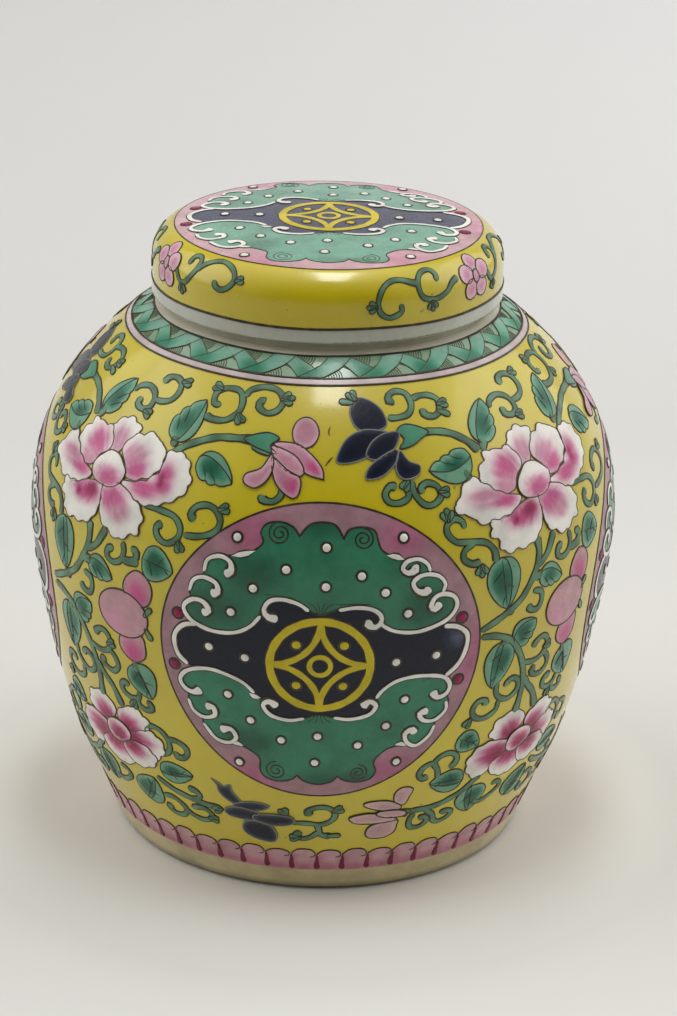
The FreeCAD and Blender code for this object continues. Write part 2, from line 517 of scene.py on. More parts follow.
def knob(brush, x, y, tip_x, tip_y, lobes=3, size=3.9):
    """Small leafy lobes that fan out from (x, y) towards (tip_x, tip_y)."""
    scale = brush.canvas.mm_per_unit(y)
    heading = math.atan2(tip_y - y, (tip_x - x) * scale)
    for k in range(lobes):
        off_centre = k - (lobes - 1) / 2
        reach = size * (1 if off_centre else 1.15)
        bud = [(reach * px, size * 0.27 * py) for px, py in BUD]
        outline = brush.around(x, y, turned(bud, heading + math.radians(34) * off_centre))
        brush.patch(outline, DEEP_GREEN if k % 2 else LEAF_GREEN, 0.34, 0.45, (SCROLL_GREEN, 0.9), 1.2)


UPPER_PEONY = (46.5, 160)
UPPER_PETALS = [
    ([(42.3, 172), (42.3, 175.5), (43.5, 178.5), (45.5, 180.8), (48, 181.2), (49.5, 179.8),
      (51.3, 178.5), (50.5, 176), (48.5, 171), (47, 167.5), (44.7, 167.7)],
     [(46.3, 172.5, 2.2, 4.0, PINK)]),
    ([(35.2, 173), (35.5, 175.3), (37.5, 176), (39.3, 175.2), (42, 175.8), (43.5, 174), (44.8, 170.5),
      (44.5, 167.5), (42.5, 165), (41, 160.5), (38, 160), (36, 161.5), (34.5, 164), (33.2, 167),
      (33.5, 170)],
     [(40.3, 168.5, 3.0, 5.0, ROSE), (39.5, 163, 2.4, 3.6, PINK)]),
    ([(48.3, 169.5), (48.8, 173), (50.5, 176), (52.5, 177.3), (54.5, 178.6), (56, 178.2), (57, 176.3),
      (58.5, 176), (59.7, 172.5), (59.8, 169), (58.5, 165), (56, 162.5), (54, 161), (51.5, 161.5),
      (50.5, 165.3)],
     [(52.5, 168.5, 3.0, 4.2, PINK), (53.8, 164.5, 2.4, 3.6, ROSE)]),
    ([(51, 159.5), (55, 161), (58.3, 164), (60, 168), (60, 172), (61, 174.5), (63.5, 174.5), (65.5, 173),
      (66.5, 169.5), (67.3, 165), (66, 160.5), (63.5, 157.3), (60, 154.8), (57, 154.2), (53.5, 156)],
     [(57, 159.5, 3.4, 3.2, ROSE), (61.3, 164.5, 2.0, 5.0, ROSE), (60.6, 163.8, 0.8, 2.6, CRIMSON)]),
    ([(26.3, 160), (28, 161.8), (28.2, 164.5), (30, 166.8), (31.5, 168), (35, 163.5), (38, 160.3),
      (42, 158), (41, 155), (38, 152.5), (35.5, 151), (33, 151.5), (31, 152.3), (29.5, 155.2),
      (27.5, 156), (26.5, 157.8)],
     [(33.5, 160.2, 3.4, 2.8, PINK), (38.3, 158, 2.8, 2.6, ROSE)]),
    ([(33.5, 149.5), (34, 152), (38, 152.5), (42, 155.5), (46.5, 156), (46.8, 150), (45.8, 144.5),
      (44, 141.5), (41.5, 140), (39.5, 140.3), (37.5, 139.7), (35.5, 141.5), (35.3, 144.5), (33.5, 147)],
     [(41.5, 151, 3.6, 3.4, ROSE), (43.6, 153, 2.0, 3.0, CRIMSON), (39.5, 150.5, 0.9, 1.6, CRIMSON)]),
    ([(46.5, 156), (47, 148), (48, 143.8), (50, 142), (52, 140), (54, 140.3), (55.5, 142.5),
      (57.5, 143.5), (58, 147), (58.3, 150), (57.5, 152.5), (55.5, 155), (52, 158), (48, 158.5)],
     [(50, 153, 3.2, 4.2, ROSE), (52, 149, 2.2, 3.0, PINK)]),
    ([(41.8, 160), (42.2, 163), (43.5, 165.5), (45.5, 168), (48, 167.8), (50, 165.5), (51.5, 162.5),
      (50.8, 158.5), (48.5, 156), (45.5, 155.8), (43, 157)],
     [(47.2, 159.2, 3.4, 3.2, ROSE)]),
]
LOWER_PEONY = (46.5, 59)
LOWER_PETALS = [
    ([(38.3, 69), (39.5, 72.5), (42, 73.5), (43.5, 74.8), (45, 73.5), (46.8, 72), (47.8, 69), (47, 66),
      (45, 62.5), (41, 62.5), (38, 65.5)],
     [(43.6, 66.3, 2.6, 3.8, ROSE), (44, 64.5, 2.4, 3.3, CRIMSON)]),
    ([(48, 67.5), (49, 70.5), (51.5, 72.5), (53.5, 74), (55.5, 72.5), (57.2, 70), (57.5, 67), (56, 63),
      (52, 61), (49, 62.5)],
     [(51.5, 65.5, 2.8, 3.6, ROSE), (51, 63.5, 2.4, 3.3, CRIMSON)]),
    ([(50, 61), (53, 63), (56.5, 65.5), (59, 64.5), (60.5, 61), (60.2, 57), (57.5, 53), (53, 54),
      (50, 57)],
     [(54, 59.5, 3.2, 3.2, ROSE), (52.3, 59.5, 2.1, 3.3, CRIMSON)]),
    ([(33, 55), (33.5, 58.5), (35, 61.8), (38, 63.5), (42, 62.5), (45, 60), (44, 56), (42, 52.5),
      (39, 49), (36.5, 48), (34.3, 50.5)],
     [(39.5, 57.5, 3.4, 3.8, ROSE), (41, 56.5, 3.3, 4.2, CRIMSON)]),
    ([(41, 54), (45, 57), (49, 57), (51, 53), (51, 49), (49, 45.5), (46, 44.2), (43, 45.5), (40.5, 48.5),
      (40, 51.5)],
     [(45.5, 53, 3.0, 3.6, ROSE), (45, 54.5, 3.0, 3.3, CRIMSON)]),
    ([(48, 55), (51, 58), (55, 58), (57.5, 55), (57.5, 51), (55, 48), (52, 46.8), (49.5, 48.5),
      (48.3, 51.5)],
     [(52, 54.5, 2.6, 3.2, ROSE), (51, 56, 2.4, 3.0, CRIMSON)]),
    ([(43.5, 59), (44.3, 63), (47, 65), (50, 63.8), (51.3, 60.5), (50, 57), (47, 55), (44.5, 56)],
     [(47.3, 60, 2.6, 3.0, ROSE), (47.5, 58.5, 2.2, 3.0, CRIMSON)]),
]


def flushed(centre, flushes):
    """White paint flushed with pink around given spots, in streaks that run out from the flower's centre."""
    soft = blotted((0, 0, 0), *[(x, y, rx * 1.25, ry * 1.2, (255, 255, 255)) for x, y, rx, ry, _ in flushes])
    tint = blotted(PINK, *flushes)

    def paint(uv):
        turn = np.arctan2(uv[:, 1] - centre[1], (uv[:, 0] - centre[0]) * 1.6)
        streak = 0.12 * np.sin(turn * 31) + 0.1 * np.sin(turn * 19 + 1)
        near = soft(uv)[:, :1]
        share = np.clip(near / 255 * 1.15 + streak[:, None] * near / 150, 0, 1)
        return np.array(WHITE) * (1 - share) + tint(uv) * share

    return paint


def peony(brush, centre, petals):
    """A full flower: frilled white petals, painted back to front, flushed pink towards the heart."""
    for k, (outline, flushes) in enumerate(petals):
        brush.patch(outline, flushed(centre, flushes), 0.22 + 0.07 * k, 0.45, spacing=1.2, frill=centre,
                    line_colour=(84, 66, 48))


def lily(brush, petals, colour, rim, line_colour=INK):
    """A side view of a small flower: a few pointed petals with paler rims, painted back to front."""
    for k, outline in enumerate(petals):
        brush.patch(outline, colour, 0.22 + 0.1 * k, 0.55, (rim, 1.4), 1.4, line_colour=line_colour)


LEAVES = [   # angle, height, length, width, heading, bend, fold, veins
    (27.3, 174, 17, 10, 190, 2.0, 0.1, 0), (38.6, 186.5, 17, 9.5, 65, 0, 0.45, 0),
    (62.3, 186.5, 18, 9.5, 68, 0, -0.45, 0), (-22.8, 171, 15.5, 9.5, -28, 0, 0.5, 0),
    (36.2, 129, 19.5, 13, -82, 0, 0.45, 3), (48.5, 126, 13, 8, -16, 0.5, 0.5, 0),
    (-32, 134.8, 13, 11.5, -10, 0, 0, 3), (42.5, 107.8, 12, 10, 35, 0.5, 0.6, 0),
    (36.5, 97, 19, 11.5, -97, 0, -0.45, 3), (-37, 87, 14.5, 12, -65, 0, 0.1, 3),
    (32.5, 66.3, 11, 8.5, -30, 0, 0, 5), (29, 49.8, 14, 9.5, 175, 0, 0.4, 2),
    (37.5, 37, 13.5, 12, -80, 0, -0.4, 2), (-42, 36.5, 14.5, 12, 60, 0, -0.35, 2),
    (-32.3, 49.5, 14.5, 8.5, 8, 0, -0.3, 2),
]

STEMS = [
    [(31.2, 113), (34, 115), (37.5, 118), (40.5, 121.5), (42.5, 126), (44, 130.5), (45, 136), (44.7, 142)],
    [(44.3, 131.5), (47, 134.5), (48.5, 138.5), (49.5, 141.8)],
    [(31.5, 110.5), (35, 109.5), (38.5, 106.5), (41, 101.5), (43, 95), (44.2, 88), (44.5, 82), (44, 73)],
    [(44.5, 88), (46, 84), (48.5, 79), (50.3, 72)],
    [(20.5, 38), (24, 38), (28, 38.5), (32, 41), (35, 44), (38, 49)],
    [(-38.5, 44.5), (-36, 42), (-33, 40), (-29, 38.5), (-25, 37.3), (-22, 36.8)],
    [(-33.6, 173.6), (-31.2, 177), (-28, 180), (-24, 182.5), (-19, 183.3), (-15, 183.5)],
    [(20.5, 186), (25, 186), (29, 184.5), (32.5, 181), (35, 176.5)],
    [(31, 166.5), (30.6, 168.3), (30.2, 171)], [(36, 176), (36.4, 178), (37, 180)],
    [(60.5, 176), (60.8, 178), (61, 180)], [(37.6, 119), (38, 118), (38.3, 118.5)],
    [(43.5, 127), (44.5, 128), (45.8, 128)], [(38, 104.5), (37.2, 106), (38, 107)],
    [(-40.3, 133.2), (-38.8, 133), (-36.3, 134)], [(-38.8, 94.5), (-38.3, 92.5), (-38.2, 90.5)],
]

TENDRILS = [
    [(-40.5, 139.5), (-40, 136), (-40.8, 132.5), (-42.7, 131), (-44.3, 132.5), (-44, 135.3),
     (-42.7, 135.8)],
    [(-40.3, 133.2), (-38.2, 133.8), (-36.8, 135.5), (-37.2, 137.8), (-38.2, 137.2)],
    [(43.5, 123), (45.7, 121.5), (46, 118), (45, 115.3), (43.3, 115.8), (42.3, 117.8)],
    [(-37, 154.5), (-33, 154), (-29.5, 153), (-27.8, 149.5), (-28.3, 145.5), (-30.5, 143.3),
     (-32.5, 145), (-33, 148), (-31.8, 149.7)],
    [(27.8, 151.3), (27.6, 153.6), (26, 155.2), (24.3, 153.5), (24.2, 150.5), (26, 147.2), (29.5, 146.3),
     (32.3, 145), (34, 141.5), (34.2, 137.5)],
    [(29.8, 146.2), (27.5, 143.8), (27.2, 141), (28.8, 138.8), (30.8, 138.7)],
    [(37, 89.5), (37.3, 85), (38.8, 82), (41, 81), (43, 83.5), (42.8, 87.5), (41, 89.3), (39.8, 88),
     (39.8, 86.5)],
    [(38.3, 81.5), (38, 77.5), (35.5, 75.3), (33, 76.5), (32, 80), (33, 83.3), (34.8, 83), (35, 80.7)],
    [(43.5, 94.5), (46, 93.5), (48.5, 94.5), (49.8, 97.5), (49.5, 101), (48, 102.8), (46.3, 101.5),
     (45.3, 99.5)],
    [(-45.5, 95.5), (-44, 93), (-43.5, 89.5), (-45, 86.7), (-47, 87), (-48.3, 89), (-47.3, 91)],
    [(-38.5, 82), (-39, 79), (-41, 78), (-43, 79.5), (-43.3, 82.5), (-42.2, 83.8), (-41.3, 82.5)],
    [(-39.3, 78.8), (-39, 76), (-37.3, 74.8), (-35.7, 76), (-36, 77.8), (-37, 77.8)],
    [(-36.5, 56.5), (-34, 57.5), (-32.7, 60.5), (-33, 65), (-35, 68), (-37.3, 68), (-38.7, 65.5),
     (-37.5, 63), (-36.5, 62.5)],
    [(-33, 64.5), (-31, 65), (-28.8, 63.5), (-28.3, 60.5), (-29.5, 58), (-31, 58), (-31, 60)],
    [(26.5, 52.5), (26, 56.5), (25, 60), (26.5, 62.8), (28.8, 63), (30.3, 60.5), (29.8, 57.5), (28.7, 57)],
    [(25.8, 57), (24.5, 60), (22.5, 58.5), (21.8, 55.5), (22.8, 53.5), (24, 54.5)],
    [(-51.5, 41), (-49.5, 41), (-48.3, 38.5), (-50, 35.5), (-53, 33.5), (-56, 34.5)],
    [(25, 37.5), (27.5, 34), (28.3, 30.5), (30, 29), (32.3, 30.5), (32.8, 33), (31, 34.2), (29.8, 33)],
    [(22.5, 36.5), (21.8, 32.5), (22.5, 29), (25, 28.5), (26.5, 31), (25.5, 33.5), (24, 33)],
    [(-29.5, 38.8), (-27.5, 40), (-27.3, 42), (-28.5, 43.5), (-30, 43.5)],
    [(-38, 35.5), (-35.5, 36.3), (-33, 34), (-32.2, 31), (-33.5, 28), (-36, 27.5), (-37.5, 29.5),
     (-36.5, 31.3)],
    [(-32, 31.5), (-30.5, 29.5), (-28, 28.5), (-25.5, 30), (-25.2, 33), (-27, 35), (-29.3, 34.5),
     (-29.5, 33)],
    [(-26, 194), (-28, 194.5), (-28.3, 198.5), (-26, 200.7), (-22.5, 200.5), (-20.8, 197), (-21, 192.5),
     (-23.5, 189), (-27, 188.5), (-29, 189.5)],
    [(-20.5, 198.5), (-19.5, 201.5), (-16, 203.3), (-12.5, 202.5), (-10.5, 199), (-11.5, 195),
     (-14, 193.5), (-16.3, 195.5), (-16, 198), (-15, 197.7)],
    [(15, 192.5), (17.5, 192.3), (20.5, 193.5), (21.7, 197), (21, 201), (18.5, 202.3), (16.5, 201),
     (16.2, 198.7), (17.5, 199)],
    [(22.3, 198.5), (24, 199.5), (27, 199.3), (29, 197), (28.5, 193), (26.5, 191.3), (24.3, 192.5),
     (24.5, 194.7)],
    [(18, 170), (18.3, 165.5), (20, 161.5), (22, 161), (23.8, 163.5), (23.3, 167), (21.3, 168.5),
     (19.8, 167), (20.3, 165.5)],
    [(17, 167), (17, 164.3), (15, 162.7), (13, 163.3), (12.3, 166), (13.5, 168.5), (14.8, 168)],
    [(-8.3, 168), (-8.5, 165), (-10, 163), (-12, 163.5), (-12, 165)],
    [(-27, 147.5), (-24, 148), (-21, 150), (-19.8, 153.5), (-20.5, 157), (-22.5, 159), (-25, 158),
     (-26, 155), (-25, 153.3)],
    [(42.5, 190), (43.5, 192.5), (46.3, 193.8), (49, 192.3), (50.2, 189.5), (50, 186.5), (48, 185.2),
     (46, 186.5), (46.3, 189)],
    [(50.5, 190), (52.5, 190), (55, 191.5), (56, 195), (55.2, 198.5), (52.8, 200), (50.5, 199),
     (50, 196.5)],
    [(-6, 34.5), (-2, 34.5), (1, 34), (3.5, 36.5), (4, 40), (2.5, 42.8), (0, 43), (-2, 41), (-1.5, 38.5)],
    [(0, 34), (0.5, 31), (1, 28.5), (3.5, 27.5)],
    [(0.5, 30), (-1.5, 27), (-3.5, 26), (-5, 28), (-3.5, 29.5)],
    [(-16, 181.5), (-14, 180.3), (-11.5, 179.5)],
]

KNOBS = [   # from, towards, lobes
    (-28, 145, -27.2, 141, 2), (24.6, 154.5, 24.5, 158, 3), (31, 137.8, 31, 133.5, 3),
    (32, 76.5, 30.5, 73, 2), (-45.8, 97.5, -43, 99, 2), (-40, 77.5, -41, 74, 2),
    (-26.2, 30.5, -23, 30, 2), (-27, 200, -30, 201, 2), (-21, 192, -19.5, 188.5, 2),
    (-11, 199, -6.5, 200.5, 3), (28.5, 195.5, 31.8, 195.5, 2), (28, 193, 30.8, 191, 1),
    (23.5, 165, 26, 164.5, 2), (-20.5, 158, -17.8, 159.5, 2), (49, 184.8, 51.5, 184, 2),
    (55.3, 199, 59, 199.5, 2), (3.5, 41, 6, 42.7, 2), (-3.8, 26.5, -7, 26, 2), (2.5, 28, 4.5, 28, 1),
    (-6.8, 38, -8, 42, 2), (7.6, 199.6, 6.2, 202.8, 2), (6.9, 198.6, 3.4, 199.4, 1),
    (-22, 37, -24, 35.5, 2), (19, 39, 21, 37, 2), (17.5, 170, 16, 167, 2),
]

PINK_LILY = [
    [(-7.3, 187.5), (-6.4, 191.5), (-4.3, 193.1), (-2.2, 191.5), (-1.2, 187.5), (-2.2, 183.5),
     (-4.3, 181.9), (-6.4, 183.5)],
    [(-11, 183), (-6, 183.3), (-2.5, 179.5), (-0.3, 175), (0, 171.3), (0, 171.3), (-3.5, 173),
     (-7.5, 178)],
    [(-11.5, 182), (-6.5, 179.5), (-4.2, 175), (-4.5, 172.3), (-7, 173), (-10, 176.5)],
    [(-11, 178), (-7.5, 174), (-4.8, 171.5), (-4.8, 166.5), (-6, 164.5), (-8.5, 167), (-10.2, 171)],
    [(-11.2, 179), (-13, 174), (-16, 171.5), (-16.2, 168.5), (-13.8, 167), (-11.5, 170), (-10.5, 175)],
]
NAVY_LILY = [
    [(7, 199.5), (6, 195), (7, 190), (9, 188), (12, 188), (14.5, 190), (14, 195), (12, 198.5), (9, 200.5)],
    [(14, 187.5), (9, 188.5), (5, 185.5), (2.8, 179.5), (3, 177), (6.5, 177.3), (11, 180.5), (14.5, 186)],
    [(16.8, 187), (13.5, 186.8), (10.5, 184), (9, 179.5), (11, 177.7), (14.5, 180), (16.5, 184)],
    [(15.5, 181), (12, 178.5), (9.3, 175), (8.7, 171.3), (12, 172), (15, 176), (16, 179)],
    [(16, 179.5), (15, 174), (16.5, 170.5), (19.5, 171.3), (20.3, 174.5), (18, 176.5), (16.7, 180)],
]
NAVY_FLOWER = [
    [(-23.4, 51.6), (-22.3, 49.2), (-22, 46), (-20.6, 43), (-18, 40.6), (-16.6, 41.6), (-17.8, 44.6),
     (-18.8, 47.2), (-19.2, 50.2), (-20.6, 48.8), (-21.6, 50)],
    [(-19, 40.8), (-16, 43), (-12.6, 43.4), (-10.6, 42), (-12.6, 39.6), (-17, 38.6)],
    [(-21.2, 37.6), (-18, 39.8), (-13.6, 38.6), (-13, 35.6), (-15.6, 33.8), (-20.4, 34.6)],
    [(-16.8, 32.6), (-17.4, 27.6), (-14.6, 24.2), (-10.4, 23.4), (-9.4, 27), (-10.6, 32), (-13.4, 34)],
    [(-14.6, 36.6), (-10.6, 38.2), (-5.8, 37.6), (-5.4, 34.4), (-9, 32.6), (-13.4, 33.6)],
]
PALE_LILY = [
    [(17.2, 44), (17, 48.5), (18.8, 50.8), (21, 49.5), (20.5, 46), (19.5, 42)],
    [(19, 41.5), (15.5, 45), (11, 45), (10.3, 43.3), (13, 41), (17.5, 39.5)],
    [(18.5, 34.5), (13, 33), (11.5, 29), (12.5, 26), (16, 25.5), (18.5, 28), (18.8, 32)],
    [(13.3, 39), (9, 38.8), (7.2, 37), (9, 34.5), (13.5, 33.8), (18.5, 35)],
    [(20.3, 38.5), (18, 40), (14, 40), (13.3, 38.5), (16, 36.5), (20, 36.5)],
]
CALYXES = [
    [(-10, 184.8), (-12.5, 186.5), (-15.5, 185.5), (-18, 183.6), (-16, 181.6), (-13, 180),
     (-10.2, 179.3), (-11.8, 182)],
    [(16.6, 187.6), (18.5, 189.6), (21.5, 188.6), (24, 186), (22, 184), (19.5, 181.8), (16.6, 181.2),
     (18, 184.5)],
]
TOP_POD = [(-39.8, 122), (-39.3, 127), (-36.8, 130.8), (-34.2, 129), (-33, 124.5), (-34, 119), (-37, 117.5)]
LOW_POD = [(-42, 101.5), (-41.3, 97), (-38.5, 94.3), (-35.8, 97), (-35.3, 101.5), (-36, 106), (-40, 107)]


def pods(brush):
    """Three plump pink buds beside each medallion."""
    for outline, spot in ((TOP_POD, (-36.5, 122)), (LOW_POD, (-38.5, 98))):
        brush.patch(outline, blotted(POD_PINK, (*spot, 2.4, 5, ROSE)), edge=0.6)
    big = [(-40.5 + across, 112.7 + up) for across, up in circle(6.3, 30, 9)]
    brush.patch(big, blotted(POD_PINK, (-43, 109, 3.5, 4, PINK)), 0.3, 0.6)
    knob(brush, -34.9, 114.5, -33.8, 117, 1)
    knob(brush, -34.9, 109.5, -34, 107, 1)


def spray(brush):
    """The flowers and vine scrolls of one quarter of the wall."""
    for path in TENDRILS:
        tendril(brush, path)
    for path in STEMS:
        tendril(brush, path, 2.3)
    for row in KNOBS:
        knob(brush, *row)
    for row in LEAVES:
        leaf(brush, *row)
    pods(brush)
    for outline in CALYXES:
        brush.patch(outline, LEAF_GREEN, 0.4, 0.55)
    lily(brush, PINK_LILY, blotted(LILY_PINK, (-5, 168, 3, 5, ROSE), (-2, 175, 2, 3, ROSE)), (222, 180, 186))
    lily(brush, NAVY_LILY, NAVY, (40, 48, 66), (112, 114, 108))
    lily(brush, NAVY_FLOWER, NAVY, (74, 82, 96), (122, 124, 108))
    lily(brush, PALE_LILY, blotted((206, 162, 166), (18, 38, 2.5, 4, PINK)), (214, 184, 176))
    peony(brush, UPPER_PEONY, UPPER_PETALS)
    peony(brush, LOWER_PEONY, LOWER_PETALS)
    brush.line([(1.2, 186.5), (0.9, 188), (1.3, 190)], lift=0.25)
    brush.line([(0.2, 176), (0.9, 177.5), (1.8, 179.2)], lift=0.25)


# ---------------------------------------------------------------- the medallion

MED_X, MED_Y, MED_R = 0.0, 106.3, 57.3      # centre in degrees and mm, radius in mm
MED_UNIT = 1.838                            # mm per degree where the medallion is widest

UPPER_FIELD = [
    (-4.3, 152), (-4.3, 152), (-2.5, 156), (0, 157), (2.5, 156), (4, 151.5), (4, 151.5), (5, 154.5),
    (7.5, 155.3), (9.8, 154), (10.5, 150), (11, 147.5), (12.5, 145.5), (15, 143.6), (17.5, 143.3),
    (19.5, 141.5), (20, 139), (20, 137.7), (22, 136.5), (23.3, 133.5), (22.8, 130.4), (24.5, 129),
    (25.5, 125.5), (24.8, 121.6), (22.5, 119.3), (18, 117.2), (14, 118), (11.5, 120.3), (10.9, 122.6),
    (9.9, 126), (6.5, 127.6), (3.5, 127.2), (1.8, 126), (0, 125), (-1.8, 126), (-4, 128.6), (-7, 130),
    (-9.5, 129), (-10.7, 126), (-11.5, 123), (-13, 119), (-16, 116), (-20, 115.5), (-23.3, 117),
    (-25.4, 119.5), (-25.9, 123), (-24.5, 126), (-24.8, 128.8), (-24, 133), (-22.2, 134.6), (-22, 137.5),
    (-21.5, 141), (-19, 142.8), (-16.5, 143.6), (-14, 144.8), (-12, 147), (-11, 149.5), (-11.6, 152.5),
    (-10.6, 155.5), (-8, 156.5), (-5.5, 155),
]
LOWER_FIELD = [
    (11, 92), (12, 95), (14.5, 98.3), (18, 99.5), (22, 98.8), (24.7, 97), (25.6, 94), (25.2, 90),
    (25.8, 87.5), (25.5, 84), (23.6, 80), (23.4, 77), (22.5, 73.5), (20, 70), (17.5, 70.6), (14.5, 70),
    (12.5, 67.5), (11.3, 64), (11.9, 60), (11, 56.8), (8.3, 55.4), (5.3, 56.5), (4, 58.5), (4, 58.5),
    (3, 56), (0, 54.5), (-3, 56), (-4.3, 58.5), (-4.3, 58.5), (-5.5, 56.3), (-8.3, 55.2), (-11, 56.6),
    (-12, 60), (-12, 65), (-15, 69), (-18, 70), (-21, 71), (-23.3, 75), (-23.6, 78.5), (-25.3, 81),
    (-26.2, 86), (-25.9, 89), (-27.5, 93), (-26.5, 96.5), (-24, 99), (-20, 99.8), (-15, 97), (-12, 92),
    (-10.6, 88.5), (-9.2, 84), (-6, 82.6), (-2.8, 83.6), (0, 85.2), (2.8, 84), (6, 83.3), (9.4, 84.6),
    (10.8, 88),
]
NAVY_FIELD = [
    (28.3, 110), (28, 114), (26, 117), (23.3, 118.3), (18, 121), (11, 128), (0, 129), (-11, 131),
    (-18, 121), (-24, 116.8), (-27.2, 113.5), (-28.3, 108), (-27.5, 102.5), (-25, 99.8), (-20, 96),
    (-12, 86), (-6, 82), (0, 82), (6, 82.5), (12, 87), (20, 97), (24.5, 97.8), (26.5, 101), (27.8, 105),
]
WHITE_CURLS = [   # from the curled-in end outwards
    [(16.9, 141.2), (17.3, 139.8), (16, 138.8), (14.9, 140.4), (15.8, 142.8), (18, 143.3), (19.7, 141.3),
     (20.2, 138.6)],
    [(20, 133), (19.2, 131.4), (17.6, 132.4), (16.9, 135.2), (18.2, 137.3), (20.2, 137.6), (22.2, 136.2),
     (23.2, 133.2), (22.6, 130.8)],
    [(22.2, 127), (21.2, 124.9), (20.4, 126.2), (21.2, 129.2), (23, 130), (25, 128.4), (25.6, 125.2),
     (24.5, 121.6), (22.3, 119.2), (18, 117.2), (14, 118), (11.5, 120.4), (10.6, 122.4)],
    [(9.2, 122.6), (8.6, 121.2), (10, 120.2), (11, 122), (10.9, 124.4), (9.4, 126.7), (6.5, 127.6),
     (3.2, 126.8)],
    [(22, 92.3), (23.2, 89.4), (25, 90.4), (25.6, 93.6), (24.5, 97), (22, 98.8), (18, 99.5),
     (14.5, 98.3), (12, 95), (10.8, 91.8)],
    [(8.2, 88.4), (9.6, 90.6), (10.9, 88.6), (9.6, 85), (6, 83.4), (2.8, 84.2)],
    [(21.6, 84.4), (19.9, 83.4), (20.8, 80.4), (23.3, 79.8), (25.4, 83.4), (25.2, 87.2)],
    [(19.2, 75), (18.7, 77), (17.3, 75.4), (17.9, 71.6), (20, 69.8), (22.5, 73.4), (23.4, 77.6)],
    [(-7.8, 122.7), (-9.6, 123.3), (-10.4, 125.6), (-9.4, 129), (-7, 130), (-4, 128.6), (-2.2, 126.2)],
    [(-22.2, 121.6), (-20.9, 122.8), (-21.9, 125.6), (-24, 126), (-25.9, 123), (-25.2, 119.4),
     (-23.3, 117), (-20, 115.4), (-16, 116), (-13, 119), (-11, 123.4)],
    [(-20.5, 129.2), (-19.2, 130.2), (-19.6, 133.2), (-22, 134.6), (-24, 133), (-24.8, 128.8)],
    [(-18, 136.8), (-16.8, 138), (-17, 141.2), (-19, 142.8), (-21.4, 141), (-22, 136.6)],
    [(-23.2, 90.6), (-25, 89), (-26.8, 90.2), (-27.6, 93.4), (-26.3, 97), (-23.6, 99.3), (-20, 99.9),
     (-15, 97), (-12.4, 92.8)],
    [(-8, 88), (-9.6, 89.8), (-10.8, 88), (-9.4, 84.2), (-6, 82.5), (-2.8, 83.6)],
    [(-22.6, 84.1), (-21, 84), (-20.8, 80.8), (-23.2, 79.2), (-25.4, 81.4), (-26.2, 85.8)],
    [(-19.8, 75.2), (-17.6, 76), (-16.6, 72.6), (-18.2, 70), (-21, 71), (-23.4, 76.6)],
]
WHITE_EDGES = [
    [(23.2, 118), (25.8, 117), (27.9, 114), (28.3, 110), (27.7, 105), (26.4, 101), (24.4, 98)],
    [(-23, 117.2), (-26, 115.6), (-27.8, 112), (-28.2, 108), (-27.5, 103.4), (-25.6, 100.3)],
]
TEARDROPS = [
    [(12, 145.4), (13.6, 144.8), (15.2, 143.6)], [(-12.4, 146), (-14.4, 144.6), (-16.8, 143.4)],
    [(15.4, 71), (16.6, 71.4), (17.8, 70.3)], [(-15.2, 69.4), (-16.4, 70.2), (-17.6, 70)],
    [(-11.2, 91), (-12.6, 91.4), (-13.4, 92.6)],
]
HUMP_SPIRALS = [(-8, 152.6, 4.1), (7.6, 151.2, 3.8), (-8.6, 60, 4.1), (8.2, 59.6, 3.8)]
WHITE_DOTS = [
    (0.8, 148.5), (-6.5, 140.5), (7.3, 138.7), (0.8, 135), (-12.5, 133), (11.7, 132.5), (-16.6, 123.5),
    (16, 124.3), (-17.7, 90.7), (16.5, 90.3), (-13.4, 81), (13.2, 79.7), (-7.4, 73.7), (-0.2, 76),
    (7.8, 72), (-0.7, 64.5), (-21, 109), (-14, 106.7), (14.2, 106), (22, 107), (-16, 150), (15.3, 151),
    (-16.3, 62), (16.1, 63.5),
]
GEMS = [(-27.2, 119.5), (26.8, 120), (-28.6, 99), (27.3, 95.4)]
ROUNDEL_X, ROUNDEL_Y, ROUNDEL_R = 0.0, 105.3, 17.2


def roundel(brush):
    """A plain yellow rosette in a ring: four crossing arcs, a small ring in the middle and four dots."""
    def spots(points):
        return brush.around(ROUNDEL_X, ROUNDEL_Y, points)

    brush.ribbon(spots(circle(ROUNDEL_R, 15)), 3.0, YELLOW, 0.5, closed=True)
    for quarter in range(4):
        corner = math.radians(90 * quarter + 45)
        bow_x, bow_y = (ROUNDEL_R * math.sqrt(2) * way for way in (math.cos(corner), math.sin(corner)))
        arc = [math.radians(90 * quarter + 183 + t) for t in range(0, 85, 12)]
        bowed = [(bow_x + ROUNDEL_R * math.cos(t), bow_y + ROUNDEL_R * math.sin(t)) for t in arc]
        brush.ribbon(spots(bowed), 2.4, YELLOW, 0.44)
        brush.dome(*spots([(11.4 * math.cos(corner), 11.4 * math.sin(corner))])[0], 1.7, YELLOW, 0.6, 0.5)
    brush.ribbon(spots(circle(3.6, 15)), 1.9, YELLOW, 0.44, closed=True)


def hump_spiral(brush, x, y, size):
    """A fine spiral line drawn in a hump of a green field, from its top inwards to the middle."""
    way = 1 if x < 0 else -1
    spiral = [(size * (1 - k / 36) * math.cos(math.radians(90 + way * 25 * k)),
               size * (1 - k / 34) * math.sin(math.radians(90 + way * 25 * k))) for k in range(30)]
    brush.line(brush.around(x, y, spiral), 0.6, 0.42, "round")


def lashes(brush):
    """Four fine hairs above the roundel and four below it."""
    for dx in (-1.2, -0.4, 0.4, 1.2):
        brush.line([(dx * 0.4, 125), (dx, 128), (dx * 1.9, 130 - abs(dx))], 0.3, 0.4)
        brush.line([(dx * 0.4, 86), (dx, 83.4), (dx * 1.9, 81 + abs(dx))], 0.3, 0.4)


